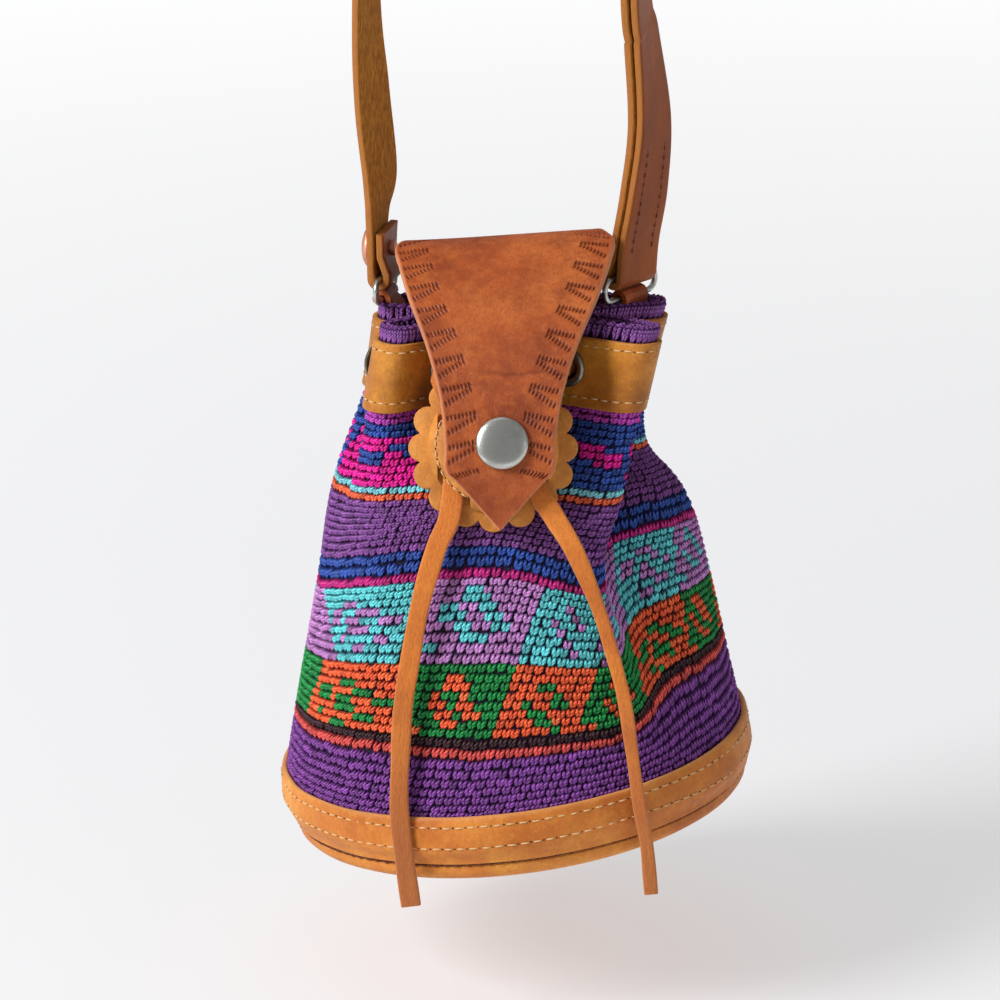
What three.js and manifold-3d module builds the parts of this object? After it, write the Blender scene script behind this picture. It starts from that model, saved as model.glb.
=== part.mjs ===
// Small drawstring bucket bag: crocheted body, leather collar, base, flap, laces and strap.
// Millimetres, +Z up, the front faces -Y. The origin is the underside of the strap where it hangs.
import * as THREE from 'three';
import { LoftGeometry } from 'three/addons/geometries/LoftGeometry.js';
import { mergeVertices } from 'three/addons/utils/BufferGeometryUtils.js';
import Module from 'manifold-3d';

const wasm = await Module();
wasm.setup();

// Driving dimensions
const hangHeight = 605; // from the bottom of the bag to the underside of the strap
const gap = 0.3; // clearance between neighbouring pieces
const wallThick = 2.6; // crocheted wall
const wallSlices = 54; // points round the wall, three to a fold
const baseTilt = 7.6; // degrees, the right side of the base hangs higher
const base = { x: 7, seamRadius: 68, seamZ: 6, topRadius: 69.2, topZ: 21.2, panRadius: 66.4, weltRadius: 69 };
const neck = { bottomZ: 128.5, topZ: 149.5, rimZ: 153.4, lean: 0.06 };
const collarThick = 1.6;
const bandThick = 1.8;
const eyelet = { bore: 3.8, barrel: 4.4, flange: 6.1, level: 4.5 };
const lace = { width: 6.2, thick: 2.2 };
const flapThick = 2.6;
const rosette = { x: -2, y: -34.4, z: 121.4, lean: 23, petals: 16, petalCentre: 20.6, petalRadius: 4.3 };
const snap = { capRadius: 7.7, postRadius: 1.8, studRadius: 4.6 };
const strap = { width: 18, thick: 2.4, archRadius: 27 };
const ring = { wire: 0.9, straight: 9.2, end: 3.4 };
const tab = { width: 11, thick: 1.6 };

// Rows of a short table, as objects with the named columns
const table = (columns, rows) =>
  rows.map((row) => Object.fromEntries(columns.map((column, i) => [column, row[i]])));

// Fold lines of the wall, anticlockwise seen from above. share: how far the shoulder has drawn in.
const folds = table(
  ['name', 'neckX', 'neckY', 'share', 'waistX', 'waistY', 'waistZ', 'baseDegrees'],
  [
    ['front valley', 1, -9, 0.3, 2, -47, 87, -92],
    ['front right flank', 21, -15, 0.35, 15, -47, 84, -77],
    ['front right corner', 39, -27, 0.45, 27, -43, 80, -63],
    ['front right tip', 44.5, -21, 0.45, 31, -36, 80, -52],
    ['front right back', 34, -9, 0.55, 29, -27, 84, -42],
    ['right valley', 22, 0, 0.5, 33, -18, 88, -31],
    ['back right front', 35, 8, 0.8, 43, -13, 90, -18],
    ['back right tip', 46.5, 12, 1, 53, -4, 90, -3],
    ['back right corner', 45, 24, 0.9, 58, 12, 89, 17],
    ['back right flank', 26, 27, 0.4, 42, 38, 88, 48],
    ['back valley', 3, 21, 0.3, 3, 48, 84, 90],
    ['back left flank', -20, 27, 0.4, -34, 38, 78, 130],
    ['back left corner', -36.5, 24, 0.3, -51, 20, 72, 158],
    ['back left tip', -37.5, 9, 0.3, -55, 3, 69, 178],
    ['left valley', -20, 0, 0.2, -51, -11, 72, 193],
    ['front left tip', -37.5, -17, 0.35, -47, -23, 76, 208],
    ['front left corner', -32, -28, 0.4, -36, -39, 82, 228],
    ['front left flank', -17, -16, 0.3, -14, -47, 87, 250],
  ],
);

const radians = THREE.MathUtils.degToRad;
const vector = (x, y, z) => new THREE.Vector3(x, y, z);

// Closed body from a geometry, faces outward
function solid(geometry) {
  const bare = new THREE.BufferGeometry().setAttribute('position', geometry.getAttribute('position'));
  bare.setIndex(geometry.index);
  const merged = mergeVertices(bare, 1e-4);
  const triangles = [];
  const corners = merged.index.array;
  const position = merged.getAttribute('position');
  const [a, b, c] = [vector(), vector(), vector()];
  let volume = 0;
  for (let i = 0; i < corners.length; i += 3) {
    const [p, q, r] = [corners[i], corners[i + 1], corners[i + 2]];
    if (p === q || q === r || r === p) continue;
    triangles.push([p, q, r]);
    a.fromBufferAttribute(position, p);
    b.fromBufferAttribute(position, q);
    c.fromBufferAttribute(position, r);
    volume += a.dot(b.cross(c));
  }
  const outward = volume > 0 ? triangles : triangles.map(([p, q, r]) => [p, r, q]);
  return new wasm.Manifold(
    new wasm.Mesh({
      numProp: 3,
      vertProperties: new Float32Array(position.array),
      triVerts: new Uint32Array(outward.flat()),
    }),
  );
}

// Geometry of a finished body
function geometryOf(body) {
  const mesh = body.getMesh();
  const geometry = new THREE.BufferGeometry();
  geometry.setAttribute('position', new THREE.BufferAttribute(mesh.vertProperties, 3));
  geometry.setIndex(new THREE.BufferAttribute(mesh.triVerts, 1));
  return geometry;
}

const bag = new THREE.Group();
bag.position.z = -hangHeight;

// Adds a finished body to the bag as a named piece of its own
function addPiece(name, body, color, metalness = 0) {
  const material = new THREE.MeshStandardMaterial({ color, metalness, roughness: metalness ? 0.35 : 0.8 });
  const mesh = new THREE.Mesh(geometryOf(body), material);
  mesh.name = name;
  bag.add(mesh);
}

const tan = 0xb07a3c;
const brown = 0x8a5a32;
const orange = 0xd08a3a;
const nickel = 0xc8c8cc;
const brass = 0x9a8a68;

// Wall surface: each fold line runs up through seven levels, and a closed curve joins them at a level
const baseFrame = new THREE.Matrix4().makeRotationY(-radians(baseTilt)).setPosition(base.x, 0, 0);

function foldLine(fold) {
  const angle = radians(fold.baseDegrees);
  const foot = (radius, z) =>
    vector(radius * Math.cos(angle), radius * Math.sin(angle), z).applyMatrix4(baseFrame);
  const throat = (scale, shift, z) =>
    vector(fold.neckX * scale + shift, fold.neckY * scale, z - neck.lean * fold.neckY);
  const waist = vector(fold.waistX, fold.waistY, fold.waistZ);
  const collarFoot = throat(0.97, -2, neck.bottomZ);
  const shoulder = waist.clone().lerp(collarFoot, fold.share);
  shoulder.z = (waist.z + collarFoot.z) / 2;
  return new THREE.CatmullRomCurve3(
    [
      foot(base.seamRadius, base.seamZ),
      foot(base.topRadius, base.topZ),
      waist,
      shoulder,
      collarFoot,
      throat(0.98, 2, neck.topZ),
      throat(0.99, 2.6, neck.rimZ),
    ],
    false,
    'catmullrom',
  );
}

const foldLines = folds.map(foldLine);
const topLevel = 6;
const ringAt = (level) =>
  new THREE.CatmullRomCurve3(foldLines.map((line) => line.getPoint(level / topLevel)), true, 'catmullrom');

// Point of a level ring, moved out of the wall, with the direction out
function wallPoint(levelRing, share, offset) {
  const tangent = levelRing.getTangent(share);
  const out = vector(tangent.y, -tangent.x, 0).normalize();
  return { at: levelRing.getPoint(share).addScaledVector(out, offset), out };
}

const wallRing = (level, offset) => {
  const levelRing = ringAt(level);
  return Array.from({ length: wallSlices }, (_, i) => wallPoint(levelRing, i / wallSlices, offset).at);
};

const levelSteps = (from, to, steps) =>
  Array.from({ length: steps + 1 }, (_, i) => from + ((to - from) * i) / steps);

// Tube that follows the wall between two levels, from one offset to another
function sleeve(levels, inner, outer) {
  const rings = [
    ...levels.map((level) => wallRing(level, outer)),
    ...levels.toReversed().map((level) => wallRing(level, inner)),
  ];
  return solid(new LoftGeometry([...rings, rings[0]]));
}

// Strip of leather through stations, each a point with the direction across it and a width
function ribbon(stations, thick) {
  const sections = stations.map(({ at, across, width }, i) => {
    const before = stations[Math.max(i - 1, 0)].at;
    const after = stations[Math.min(i + 1, stations.length - 1)].at;
    const along = after.clone().sub(before).normalize();
    const face = along.clone().cross(across).normalize().multiplyScalar(thick / 2);
    const half = face.clone().cross(along).normalize().multiplyScalar(width / 2);
    return [
      at.clone().sub(half).sub(face),
      at.clone().add(half).sub(face),
      at.clone().add(half).add(face),
      at.clone().sub(half).add(face),
    ];
  });
  return solid(new LoftGeometry(sections, { capStart: true, capEnd: true }));
}

// Stations on a smooth curve through rough ones
function smoothStations(rough, count) {
  const path = new THREE.CatmullRomCurve3(rough.map((s) => s.at), false, 'catmullrom');
  const sides = new THREE.CatmullRomCurve3(rough.map((s) => s.across), false, 'catmullrom');
  const widths = new THREE.CatmullRomCurve3(rough.map((s) => vector(s.width, 0, 0)), false, 'catmullrom');
  return levelSteps(0, 1, count).map((t) => ({
    at: path.getPoint(t),
    across: sides.getPoint(t).normalize(),
    width: widths.getPoint(t).x,
  }));
}

// Turned body from half profile points of radius and height, about the Z axis
const turned = (points, segments) =>
  solid(
    new THREE.LatheGeometry(
      [...points, points[0]].map(([r, h]) => new THREE.Vector2(r, h)),
      segments,
    ).rotateX(Math.PI / 2),
  );

const rod = (radius, from, to, segments = 10) =>
  turned([[0, from], [radius, from], [radius, to], [0, to]], segments);

// Body moved so that its Z axis points along a direction at a point
function placed(body, at, axis) {
  const turn = new THREE.Quaternion().setFromUnitVectors(vector(0, 0, 1), axis);
  return body.transform(new THREE.Matrix4().compose(at, turn, vector(1, 1, 1)).elements);
}

// Eyelets, at places along the collar counted in folds
const eyeletPlaces = [1, 4, 6, 9.45, 10.6, 13.5, 14.8, 17];
const eyeletRing = ringAt(eyelet.level);
const eyelets = eyeletPlaces.map((place) => wallPoint(eyeletRing, place / folds.length, 0));
const eyeletBody = turned(
  [
    [eyelet.bore, 3.0],
    [eyelet.bore, -3.9],
    [eyelet.flange, -3.9],
    [eyelet.flange, -3.0],
    [eyelet.barrel, -3.0],
    [eyelet.barrel, 2.3],
    [eyelet.flange, 2.3],
    [eyelet.flange, 2.8],
    [5.3, 3.5],
    [4.4, 3.5],
  ],
  10,
);
const eyeletSeat = rod(eyelet.barrel + gap, -4.4, 4.2)
  .add(rod(eyelet.flange + gap, 2.0, 4.2))
  .add(rod(eyelet.flange + gap, -4.4, -2.7));
const eyeletSeats = wasm.Manifold.union(eyelets.map(({ at, out }) => placed(eyeletSeat, at, out)));

// Crocheted wall, from just above the pan lip to the rim
const wallLevels = [0.3, ...levelSteps(1, 5, 8), 6];
addPiece('woven_body', sleeve(wallLevels, -wallThick, 0).subtract(eyeletSeats), 0x6a3f8a);

// Leather collar round the neck and band round the foot
const collarLevels = levelSteps(4, 5, 2);
addPiece('collar_band', sleeve(collarLevels, gap, gap + collarThick).subtract(eyeletSeats), tan);
addPiece('base_band', sleeve([0, 0.3, 1], gap, gap + bandThick), tan);
eyelets.forEach(({ at, out }, i) => {
  addPiece(`eyelet_${i + 1}`, placed(eyeletBody, at, out), brass, 1);
});

// Base pan with a welt under the band and a lip inside it, tilted with the foot of the wall
const pan = turned(
  [
    [0, 0],
    [base.panRadius - 4, 0],
    [base.weltRadius - 1.2, 1.2],
    [base.weltRadius, 3],
    [base.weltRadius, 5.5],
    [base.panRadius, 5.6],
    [base.panRadius, 6.6],
    [base.panRadius - 2, 6.6],
    [base.panRadius - 2.2, 4],
    [base.panRadius - 4, 2.2],
    [0, 2.2],
  ],
  54,
);
addPiece('base_pan', pan.transform(baseFrame.elements), tan);

// Flap, from the tip at the front over the mouth to the seam on the back of the collar
const flapRows = table(
  ['x', 'y', 'z', 'width', 'rise'],
  [
    [0, -50.5, 101.5, 1, 0],
    [0, -47.5, 114, 24, 0],
    [0, -46.3, 118, 32, 0],
    [0, -44, 125.5, 32.4, 0],
    [0.2, -39, 137.8, 35.6, 0],
    [0.4, -31, 151.2, 44, 0.02],
    [0.8, -18, 163.2, 56, 0.04],
    [1.3, -6, 170.6, 63, 0.06],
    [1.6, 3, 173.6, 65, 0.07],
    [2.5, 11, 173.2, 56, 0.07],
    [3, 21, 169, 50, 0.05],
    [3, 29.8, 160.5, 48, 0.03],
    [3, 34.6, 148, 48, 0],
    [3, 34.8, 134, 48, 0],
  ],
);
const flapStations = flapRows.map(({ x, y, z, width, rise }) => ({
  at: vector(x, y, z),
  across: vector(1, 0, rise).normalize(),
  width,
}));
const snapAt = vector(0.6, -44, 125.5);
const leanOut = vector(0, -Math.cos(radians(rosette.lean)), Math.sin(radians(rosette.lean)));
const postHole = placed(rod(snap.postRadius + gap, -3, 3), snapAt, leanOut);
addPiece('flap', ribbon(smoothStations(flapStations, 36), flapThick).subtract(postHole), brown);

// Press stud: cap with its post in the flap, and the hidden half between flap and rosette
const capBody = turned(
  [
    [0, -1.5],
    [snap.postRadius, -1.5],
    [snap.postRadius, 1.7],
    [snap.capRadius, 1.7],
    [snap.capRadius, 2.2],
    [snap.capRadius * 0.8, 3.3],
    [snap.capRadius * 0.4, 3.9],
    [0, 4.1],
  ],
  20,
);
addPiece('snap_cap', placed(capBody, snapAt, leanOut), nickel, 1);
addPiece('snap_stud', placed(rod(snap.studRadius, -2.9, -1.9), snapAt, leanOut), nickel, 1);

// Rosette: scalloped flower behind the laces, domed disc in front of them
const rosetteFrame = new THREE.Matrix4()
  .makeRotationX(Math.PI / 2 - radians(rosette.lean))
  .setPosition(rosette.x, rosette.y, rosette.z);
const petalShape = new THREE.Shape();
const petalStep = (2 * Math.PI) / rosette.petals;
const petalReach =
  Math.PI / 2 + petalStep / 2 - Math.acos((rosette.petalCentre * Math.sin(petalStep / 2)) / rosette.petalRadius);
for (let i = 0; i < rosette.petals; i += 1) {
  const angle = i * petalStep;
  petalShape.absarc(
    rosette.petalCentre * Math.cos(angle),
    rosette.petalCentre * Math.sin(angle),
    rosette.petalRadius,
    angle - petalReach,
    angle + petalReach,
    false,
  );
}
petalShape.closePath();
const flower = new THREE.ExtrudeGeometry(petalShape, { depth: 1.8, bevelEnabled: false, curveSegments: 3 });
addPiece('rosette_back', solid(flower).transform(rosetteFrame.elements), tan);

const dome = turned(
  [
    [0, 7.2],
    [11, 7.2],
    [16.5, 6.2],
    [19.2, 3.7],
    [19.2, 2.1],
    [17.2, 2.1],
    [15.4, 4.3],
    [10.5, 5.4],
    [0, 5.4],
  ],
  28,
);
const laceWays = [-11.5, 11.5].map((x) =>
  solid(new THREE.BoxGeometry(lace.width + 3.4, 60, 3.9).translate(x, 0, 3.65)),
);
addPiece(
  'rosette_front',
  dome.subtract(laceWays[0]).subtract(laceWays[1]).transform(rosetteFrame.elements),
  tan,
);

// Drawstring round the neck, in and out of the eyelets, and its two hanging ends
const up = vector(0, 0, 1);
const side = vector(1, 0, 0);
const laceStation = (at, across) => ({ at, across, width: lace.width });
const throughEyelet = (i, depths) =>
  depths.map((depth) => laceStation(eyelets[i].at.clone().addScaledVector(eyelets[i].out, depth), up));
const drawstringRough = [
  ...throughEyelet(0, [-gap, -2.5, -6.6]),
  ...throughEyelet(1, [-5, 0, 6.2]),
  ...throughEyelet(2, [6.2, 0, -6.4]),
  ...throughEyelet(3, [-6.4, 0, 7.1]),
  ...throughEyelet(4, [7.1, 0, -6.4]),
  ...throughEyelet(5, [-6.4, 0, 6.2]),
  ...throughEyelet(6, [6.2, 0, -6.2]),
  ...throughEyelet(7, [-7, -2.5, -gap]),
];
addPiece('drawstring', ribbon(smoothStations(drawstringRough, 69), lace.thick), orange);

const laceColumns = ['x', 'y', 'z', 'turn'];
const laceRight = table(laceColumns, [
  [18.5, -26.9, 141.2, 0.15],
  [15, -32.6, 140, 0.5],
  [10.2, -32.7, 134.2, 1],
  [9.4, -35.3, 128.2, 1],
  [9.2, -38.2, 120.8, 1],
  [10.4, -41.9, 112.2, 1],
  [16.4, -46.5, 103, 1],
  [21.8, -50, 94.5, 1],
  [28, -51, 79.5, 1],
  [32.2, -52.5, 66.4, 1],
  [36.2, -55.5, 51.6, 1],
  [38.6, -62.2, 37, 1],
  [40.7, -65.8, 22.2, 1],
  [43, -66, 9.9, 1],
  [44.5, -66, -5.9, 1],
]);
const laceLeft = table(laceColumns, [
  [-18.6, -26.6, 142.6, 0.15],
  [-17, -32.2, 141, 0.5],
  [-14.4, -32.7, 134.2, 1],
  [-13.6, -35.3, 128.2, 1],
  [-13.5, -38.2, 120.8, 1],
  [-13.6, -41.9, 112.2, 1],
  [-15, -46.5, 103, 1],
  [-18.6, -50.3, 95.5, 1],
  [-23.3, -54, 79.4, 1],
  [-26.6, -57.5, 61.4, 1],
  [-28.4, -60, 49.4, 1],
  [-29.2, -62.5, 34.5, 1],
  [-29.5, -65, 19.7, 1],
  [-28, -67, 4.9, 1],
  [-26.2, -67, -9.3, 1],
]);

function hangingLace(i, rows) {
  const rough = [
    ...throughEyelet(i, [0, 2, 4.5]),
    ...rows.map(({ x, y, z, turn }) => laceStation(vector(x, y, z), up.clone().lerp(side, turn).normalize())),
  ];
  return ribbon(smoothStations(rough, 48), lace.thick);
}
addPiece('lace_right', hangingLace(0, laceRight), orange);
addPiece('lace_left', hangingLace(7, laceLeft), orange);

// Rings, and the strap that loops through them. yaw: degrees the strap is turned, clockwise from above.
const across = (yaw) => vector(Math.sin(radians(yaw)), Math.cos(radians(yaw)), 0);
const ringEnds = {
  right: { bar: vector(39, 14.3, 161.7), yaw: 38, hand: 1 },
  left: { bar: vector(-34.4, 15.6, 161.7), yaw: 12, hand: -1 },
};
const faceOut = ({ yaw, hand }) => vector(Math.cos(radians(yaw)), -Math.sin(radians(yaw)), 0).multiplyScalar(hand);

function ringBody({ bar, yaw }) {
  const long = across(yaw);
  const middle = bar.clone().addScaledVector(up, -ring.end);
  const point = (x, z) => middle.clone().addScaledVector(long, x).addScaledVector(up, z);
  const arc = (hand) =>
    levelSteps(90, -90, 4).map((degrees) =>
      point(
        hand * (ring.straight + ring.end * Math.cos(radians(degrees))),
        hand * ring.end * Math.sin(radians(degrees)),
      ),
    );
  const path = [point(0, ring.end), ...arc(1), point(0, -ring.end), ...arc(-1)];
  const curve = new THREE.CatmullRomCurve3(path, true, 'centripetal');
  return solid(new THREE.TubeGeometry(curve, 24, ring.wire, 6, true));
}

const strapRows = table(
  ['x', 'y', 'z', 'yaw'],
  [
    [41.6, 12.2, 171.5, 38],
    [44, 8.8, 188, 37],
    [45.5, 6, 210, 30],
    [43, 4, 235.5, 20],
    [41, 2, 252, 14],
    [37, 0, 330, 6],
    [32.5, 0, 430, 2],
    [29, 0, 520, 0],
  ],
);
const strapLeftRows = table(
  ['x', 'y', 'z', 'yaw'],
  [
    [-29, 0, 520, 0],
    [-33, 0, 430, 2],
    [-38, 3, 330, 8],
    [-39.3, 7, 250.4, 19],
    [-38, 11, 217.7, 28],
    [-35.8, 15.2, 192, 27],
    [-36.6, 16, 180, 16],
    [-36.9, 16.2, 169.6, 12],
  ],
);
const strapStation = ({ x, y, z, yaw }) => ({ at: vector(x, y, z), across: across(yaw), width: strap.width });

// Half turn under a ring bar, from the outer side of the strap to its inner side and just past the bar
function underBar(end) {
  const reach = ring.wire + gap + strap.thick / 2;
  const turn = levelSteps(0, 180, 6).map((degrees) => [
    reach * Math.cos(radians(degrees)),
    -reach * Math.sin(radians(degrees)),
  ]);
  return [...turn, [-reach, ring.wire + gap]].map(([out, rise]) => ({
    at: end.bar.clone().addScaledVector(faceOut(end), out).addScaledVector(up, rise),
    across: across(end.yaw),
    width: strap.width,
  }));
}
const arch = levelSteps(0, 180, 8).map((degrees) => ({
  at: vector(
    (strap.archRadius + strap.thick / 2) * Math.cos(radians(degrees)),
    0,
    hangHeight - strap.archRadius + (strap.archRadius + strap.thick / 2) * Math.sin(radians(degrees)),
  ),
  across: across(0),
  width: strap.width,
}));
const rightLimb = smoothStations(
  [underBar(ringEnds.right)[0], ...strapRows.map(strapStation), ...arch.slice(0, 3)],
  28,
);
const leftLimb = smoothStations(
  [...arch.slice(6), ...strapLeftRows.map(strapStation), underBar(ringEnds.left)[0]],
  40,
);

// Tail doubled back on the inner side of a limb, from the ring up to a height
function tailOf(limb, end, topZ) {
  const apart = strap.thick + 2 * gap;
  return limb
    .filter(({ at }) => at.z > end.bar.z + 6.2 && at.z < topZ)
    .map((station, i, list) => {
      const before = list[Math.max(i - 1, 0)].at;
      const after = list[Math.min(i + 1, list.length - 1)].at;
      const along = after.clone().sub(before).normalize();
      const face = station.across.clone().cross(along).normalize();
      const inner = face.multiplyScalar(-Math.sign(face.dot(faceOut(end))));
      return { ...station, at: station.at.clone().addScaledVector(inner, apart) };
    });
}
const strapStations = [
  ...tailOf(rightLimb, ringEnds.right, 268).toReversed(),
  ...underBar(ringEnds.right).toReversed(),
  ...rightLimb.slice(1),
  ...arch.slice(3, 6),
  ...leftLimb.slice(0, -1),
  ...underBar(ringEnds.left),
  ...tailOf(leftLimb, ringEnds.left, 176).toReversed(),
];

// Rivet through the left end of the strap and its tail
const rivetOut = faceOut(ringEnds.left);
const { x: rivetX, y: rivetY, z: rivetZ } = strapLeftRows.at(-1);
const rivetAt = vector(rivetX, rivetY, rivetZ).addScaledVector(rivetOut, -strap.thick / 2 - gap);
const rivet = turned(
  [
    [0, -4.3],
    [2.4, -4.3],
    [2.4, -3.3],
    [1.7, -3.3],
    [1.7, 3],
    [6.4, 3],
    [6.4, 3.6],
    [5.2, 4.8],
    [3, 5.5],
    [0, 5.8],
  ],
  14,
);
const rivetHole = placed(rod(1.7 + gap, -6, 6), rivetAt, rivetOut);
addPiece('strap', ribbon(strapStations, strap.thick).subtract(rivetHole), tan);
addPiece('strap_rivet', placed(rivet, rivetAt, rivetOut), 0xb08070, 1);
addPiece('ring_right', ringBody(ringEnds.right), nickel, 1);
addPiece('ring_left', ringBody(ringEnds.left), nickel, 1);

// Tabs that hook over the low bars of the rings, trimmed to the inside of the wall and the space above the rim
const spaceTall = 30;
const neckRings = levelSteps(4, 6, 4).map((level) => wallRing(level, -wallThick - gap));
const neckTop = neckRings.at(-1).map((point) => point.clone().addScaledVector(up, spaceTall));
const neckSpace = solid(new LoftGeometry([...neckRings, neckTop], { capStart: true, capEnd: true }));
const rimSpace = solid(
  new THREE.BoxGeometry(140, 60, spaceTall).translate(0, 30, neck.rimZ + gap + spaceTall / 2),
);
const tabSpace = neckSpace.add(rimSpace);
const largest = (body) => body.decompose().reduce((a, b) => (a.volume() > b.volume() ? a : b));

function tabBody(end, foot) {
  const reach = ring.wire + gap + tab.thick / 2;
  const lowBar = end.bar.clone().addScaledVector(up, -2 * ring.end);
  const beside = (point, hand, drop) =>
    point.clone().addScaledVector(faceOut(end), hand * reach).addScaledVector(up, -drop);
  const path = [
    beside(foot, 1, 0),
    beside(lowBar, 1, ring.wire + gap),
    ...levelSteps(0, 180, 6).map((degrees) =>
      lowBar
        .clone()
        .addScaledVector(faceOut(end), reach * Math.cos(radians(degrees)))
        .addScaledVector(up, reach * Math.sin(radians(degrees))),
    ),
    beside(lowBar, -1, ring.wire + gap),
    beside(foot, -1, 0),
  ];
  return ribbon(path.map((at) => ({ at, across: across(end.yaw), width: tab.width })), tab.thick);
}
const tabTrim = (body) => largest(body.intersect(tabSpace).subtract(eyeletSeats));
addPiece('tab_right', tabTrim(tabBody(ringEnds.right, vector(36, 14, 146))), tan);
addPiece('tab_left', tabTrim(tabBody(ringEnds.left, vector(-27.5, 15.5, 145))), tan);

export default bag;
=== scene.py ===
import math

import bpy
import numpy as np
from mathutils import Matrix, Vector


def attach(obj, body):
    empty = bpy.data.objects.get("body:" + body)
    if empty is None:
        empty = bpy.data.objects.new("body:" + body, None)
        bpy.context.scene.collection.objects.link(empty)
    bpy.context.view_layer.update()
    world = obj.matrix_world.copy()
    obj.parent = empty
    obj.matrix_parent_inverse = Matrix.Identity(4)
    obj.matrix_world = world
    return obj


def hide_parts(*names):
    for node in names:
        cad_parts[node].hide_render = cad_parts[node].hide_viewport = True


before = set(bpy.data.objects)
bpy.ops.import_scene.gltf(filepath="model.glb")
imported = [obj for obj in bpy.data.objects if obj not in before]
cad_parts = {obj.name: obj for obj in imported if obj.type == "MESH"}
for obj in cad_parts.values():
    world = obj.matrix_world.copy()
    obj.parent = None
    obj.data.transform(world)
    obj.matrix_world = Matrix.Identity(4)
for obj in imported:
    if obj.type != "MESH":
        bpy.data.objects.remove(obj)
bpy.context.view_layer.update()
random = np.random.default_rng(11)

mm = 0.001
hangHeight = 605  # from the foot of the bag up to the underside of the strap
gap = 0.3  # left between neighbouring pieces
up = np.array([0.0, 0.0, 1.0])


def toFrame(points):  # millimetres above the foot of the bag, to metres below the strap
    return (np.asarray(points, float) - [0, 0, hangHeight]) * mm


def deselectAll():
    if bpy.context.object and bpy.context.object.mode != "OBJECT":
        bpy.ops.object.mode_set(mode="OBJECT")
    bpy.ops.object.select_all(action="DESELECT")


def workOn(piece):
    deselectAll()
    piece.select_set(True)
    bpy.context.view_layer.objects.active = piece


def begin(add, **options):  # a new object, from one of Blender's add operators
    deselectAll()
    add(**options)
    return bpy.context.object


# Camera, level with the upper part of the strap and looking down on the bag
view = {"eye": (0, -1.4345, -0.0714), "target": (0, 0, -0.51), "lens": 179.3, "sensor": 36}


def facing(eye, target):
    return (Vector(target) - Vector(eye)).to_track_quat("-Z", "Y").to_euler()


def addCamera():
    turn = facing(view["eye"], view["target"])
    camera = begin(bpy.ops.object.camera_add, location=view["eye"], rotation=turn)
    camera.data.lens = view["lens"]
    camera.data.sensor_width = view["sensor"]
    bpy.context.scene.camera = camera


addCamera()
print("camera set")


# Smooth curves through short tables
def curveWeights(places, count, closed):  # how much each table row counts at each place
    places = np.atleast_1d(np.asarray(places, float))
    places = places % count if closed else places
    index = np.floor(places).astype(int)
    index = index if closed else np.clip(index, 0, count - 2)
    t = places - index
    share = [
        -0.5 * t + t**2 - 0.5 * t**3,
        1 - 2.5 * t**2 + 1.5 * t**3,
        0.5 * t + 2 * t**2 - 1.5 * t**3,
        -0.5 * t**2 + 0.5 * t**3,
    ]
    padded = np.zeros((len(places), count + 2))
    line = np.arange(len(places))
    for k in range(4):
        padded[line, index + k if not closed else (index + k - 1) % count] += share[k]
    if closed:
        return padded[:, :count]
    weights = padded[:, 1:-1].copy()
    weights[:, 0] += 2 * padded[:, 0]
    weights[:, 1] -= padded[:, 0]
    weights[:, -1] += 2 * padded[:, -1]
    weights[:, -2] -= padded[:, -1]
    return weights


def smoothRows(rows, steps):
    rows = np.asarray(rows, float)
    return curveWeights(np.linspace(0, len(rows) - 1, steps + 1), len(rows), False) @ rows


def unit(vectors):
    return vectors / np.linalg.norm(vectors, axis=-1, keepdims=True)


def pathLengths(points):
    return np.concatenate([[0], np.linalg.norm(np.diff(points, axis=0), axis=1).cumsum()])


def alongPath(points, lengths):  # points at these lengths along a fine path
    total = pathLengths(points)
    return np.stack([np.interp(lengths, total, points[:, k]) for k in range(3)], -1)


def grown(values, begin, length):  # 0 up to the beginning, then rising to 1 over this length
    return np.clip((values - begin) / length, 0, 1)


def ripple(points, size, depth, seed):  # gentle unevenness over a surface
    waves = np.random.default_rng(seed)
    total = np.zeros(points.shape[:-1])
    for k in range(6):
        direction = unit(waves.normal(size=3)) * 2 * math.pi / (size * waves.uniform(0.6, 1.6))
        total += np.sin(points @ direction + waves.uniform(0, 6.28))
    return total * depth / 3


# Materials
def colour(code):  # screen colour as written on a paint chart, to light
    values = [int(code[k : k + 2], 16) / 255 for k in (0, 2, 4)]
    return tuple(v / 12.92 if v < 0.04 else ((v + 0.055) / 1.055) ** 2.4 for v in values) + (1,)


class Wire:
    def __init__(self, tree, socket=None):
        self.tree = tree
        self.socket = socket

    def make(self, kind, settings=None, inputs=None, output=0):
        node = self.tree.nodes.new(kind)
        for key, value in (settings or {}).items():
            if key == "stops":
                ramp = node.color_ramp.elements
                while len(ramp) < len(value):
                    ramp.new(0.5)
                for stop, (place, tint) in zip(ramp, value):
                    stop.position = place
                    stop.color = tint
            else:
                setattr(node, key, value)
        for key, value in (inputs or {}).items():
            if isinstance(value, Wire):
                self.tree.links.new(value.socket, node.inputs[key])
            else:
                node.inputs[key].default_value = value
        return Wire(self.tree, node.outputs[output] if node.outputs else None)

    def sum(self, operation, first, second):
        return self.make("ShaderNodeMath", {"operation": operation}, {0: first, 1: second})

    def __add__(self, other):
        return self.sum("ADD", self, other)

    def __radd__(self, other):
        return self.sum("ADD", other, self)

    def __sub__(self, other):
        return self.sum("SUBTRACT", self, other)

    def __rsub__(self, other):
        return self.sum("SUBTRACT", other, self)

    def __mul__(self, other):
        return self.sum("MULTIPLY", self, other)

    def __rmul__(self, other):
        return self.sum("MULTIPLY", other, self)


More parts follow.
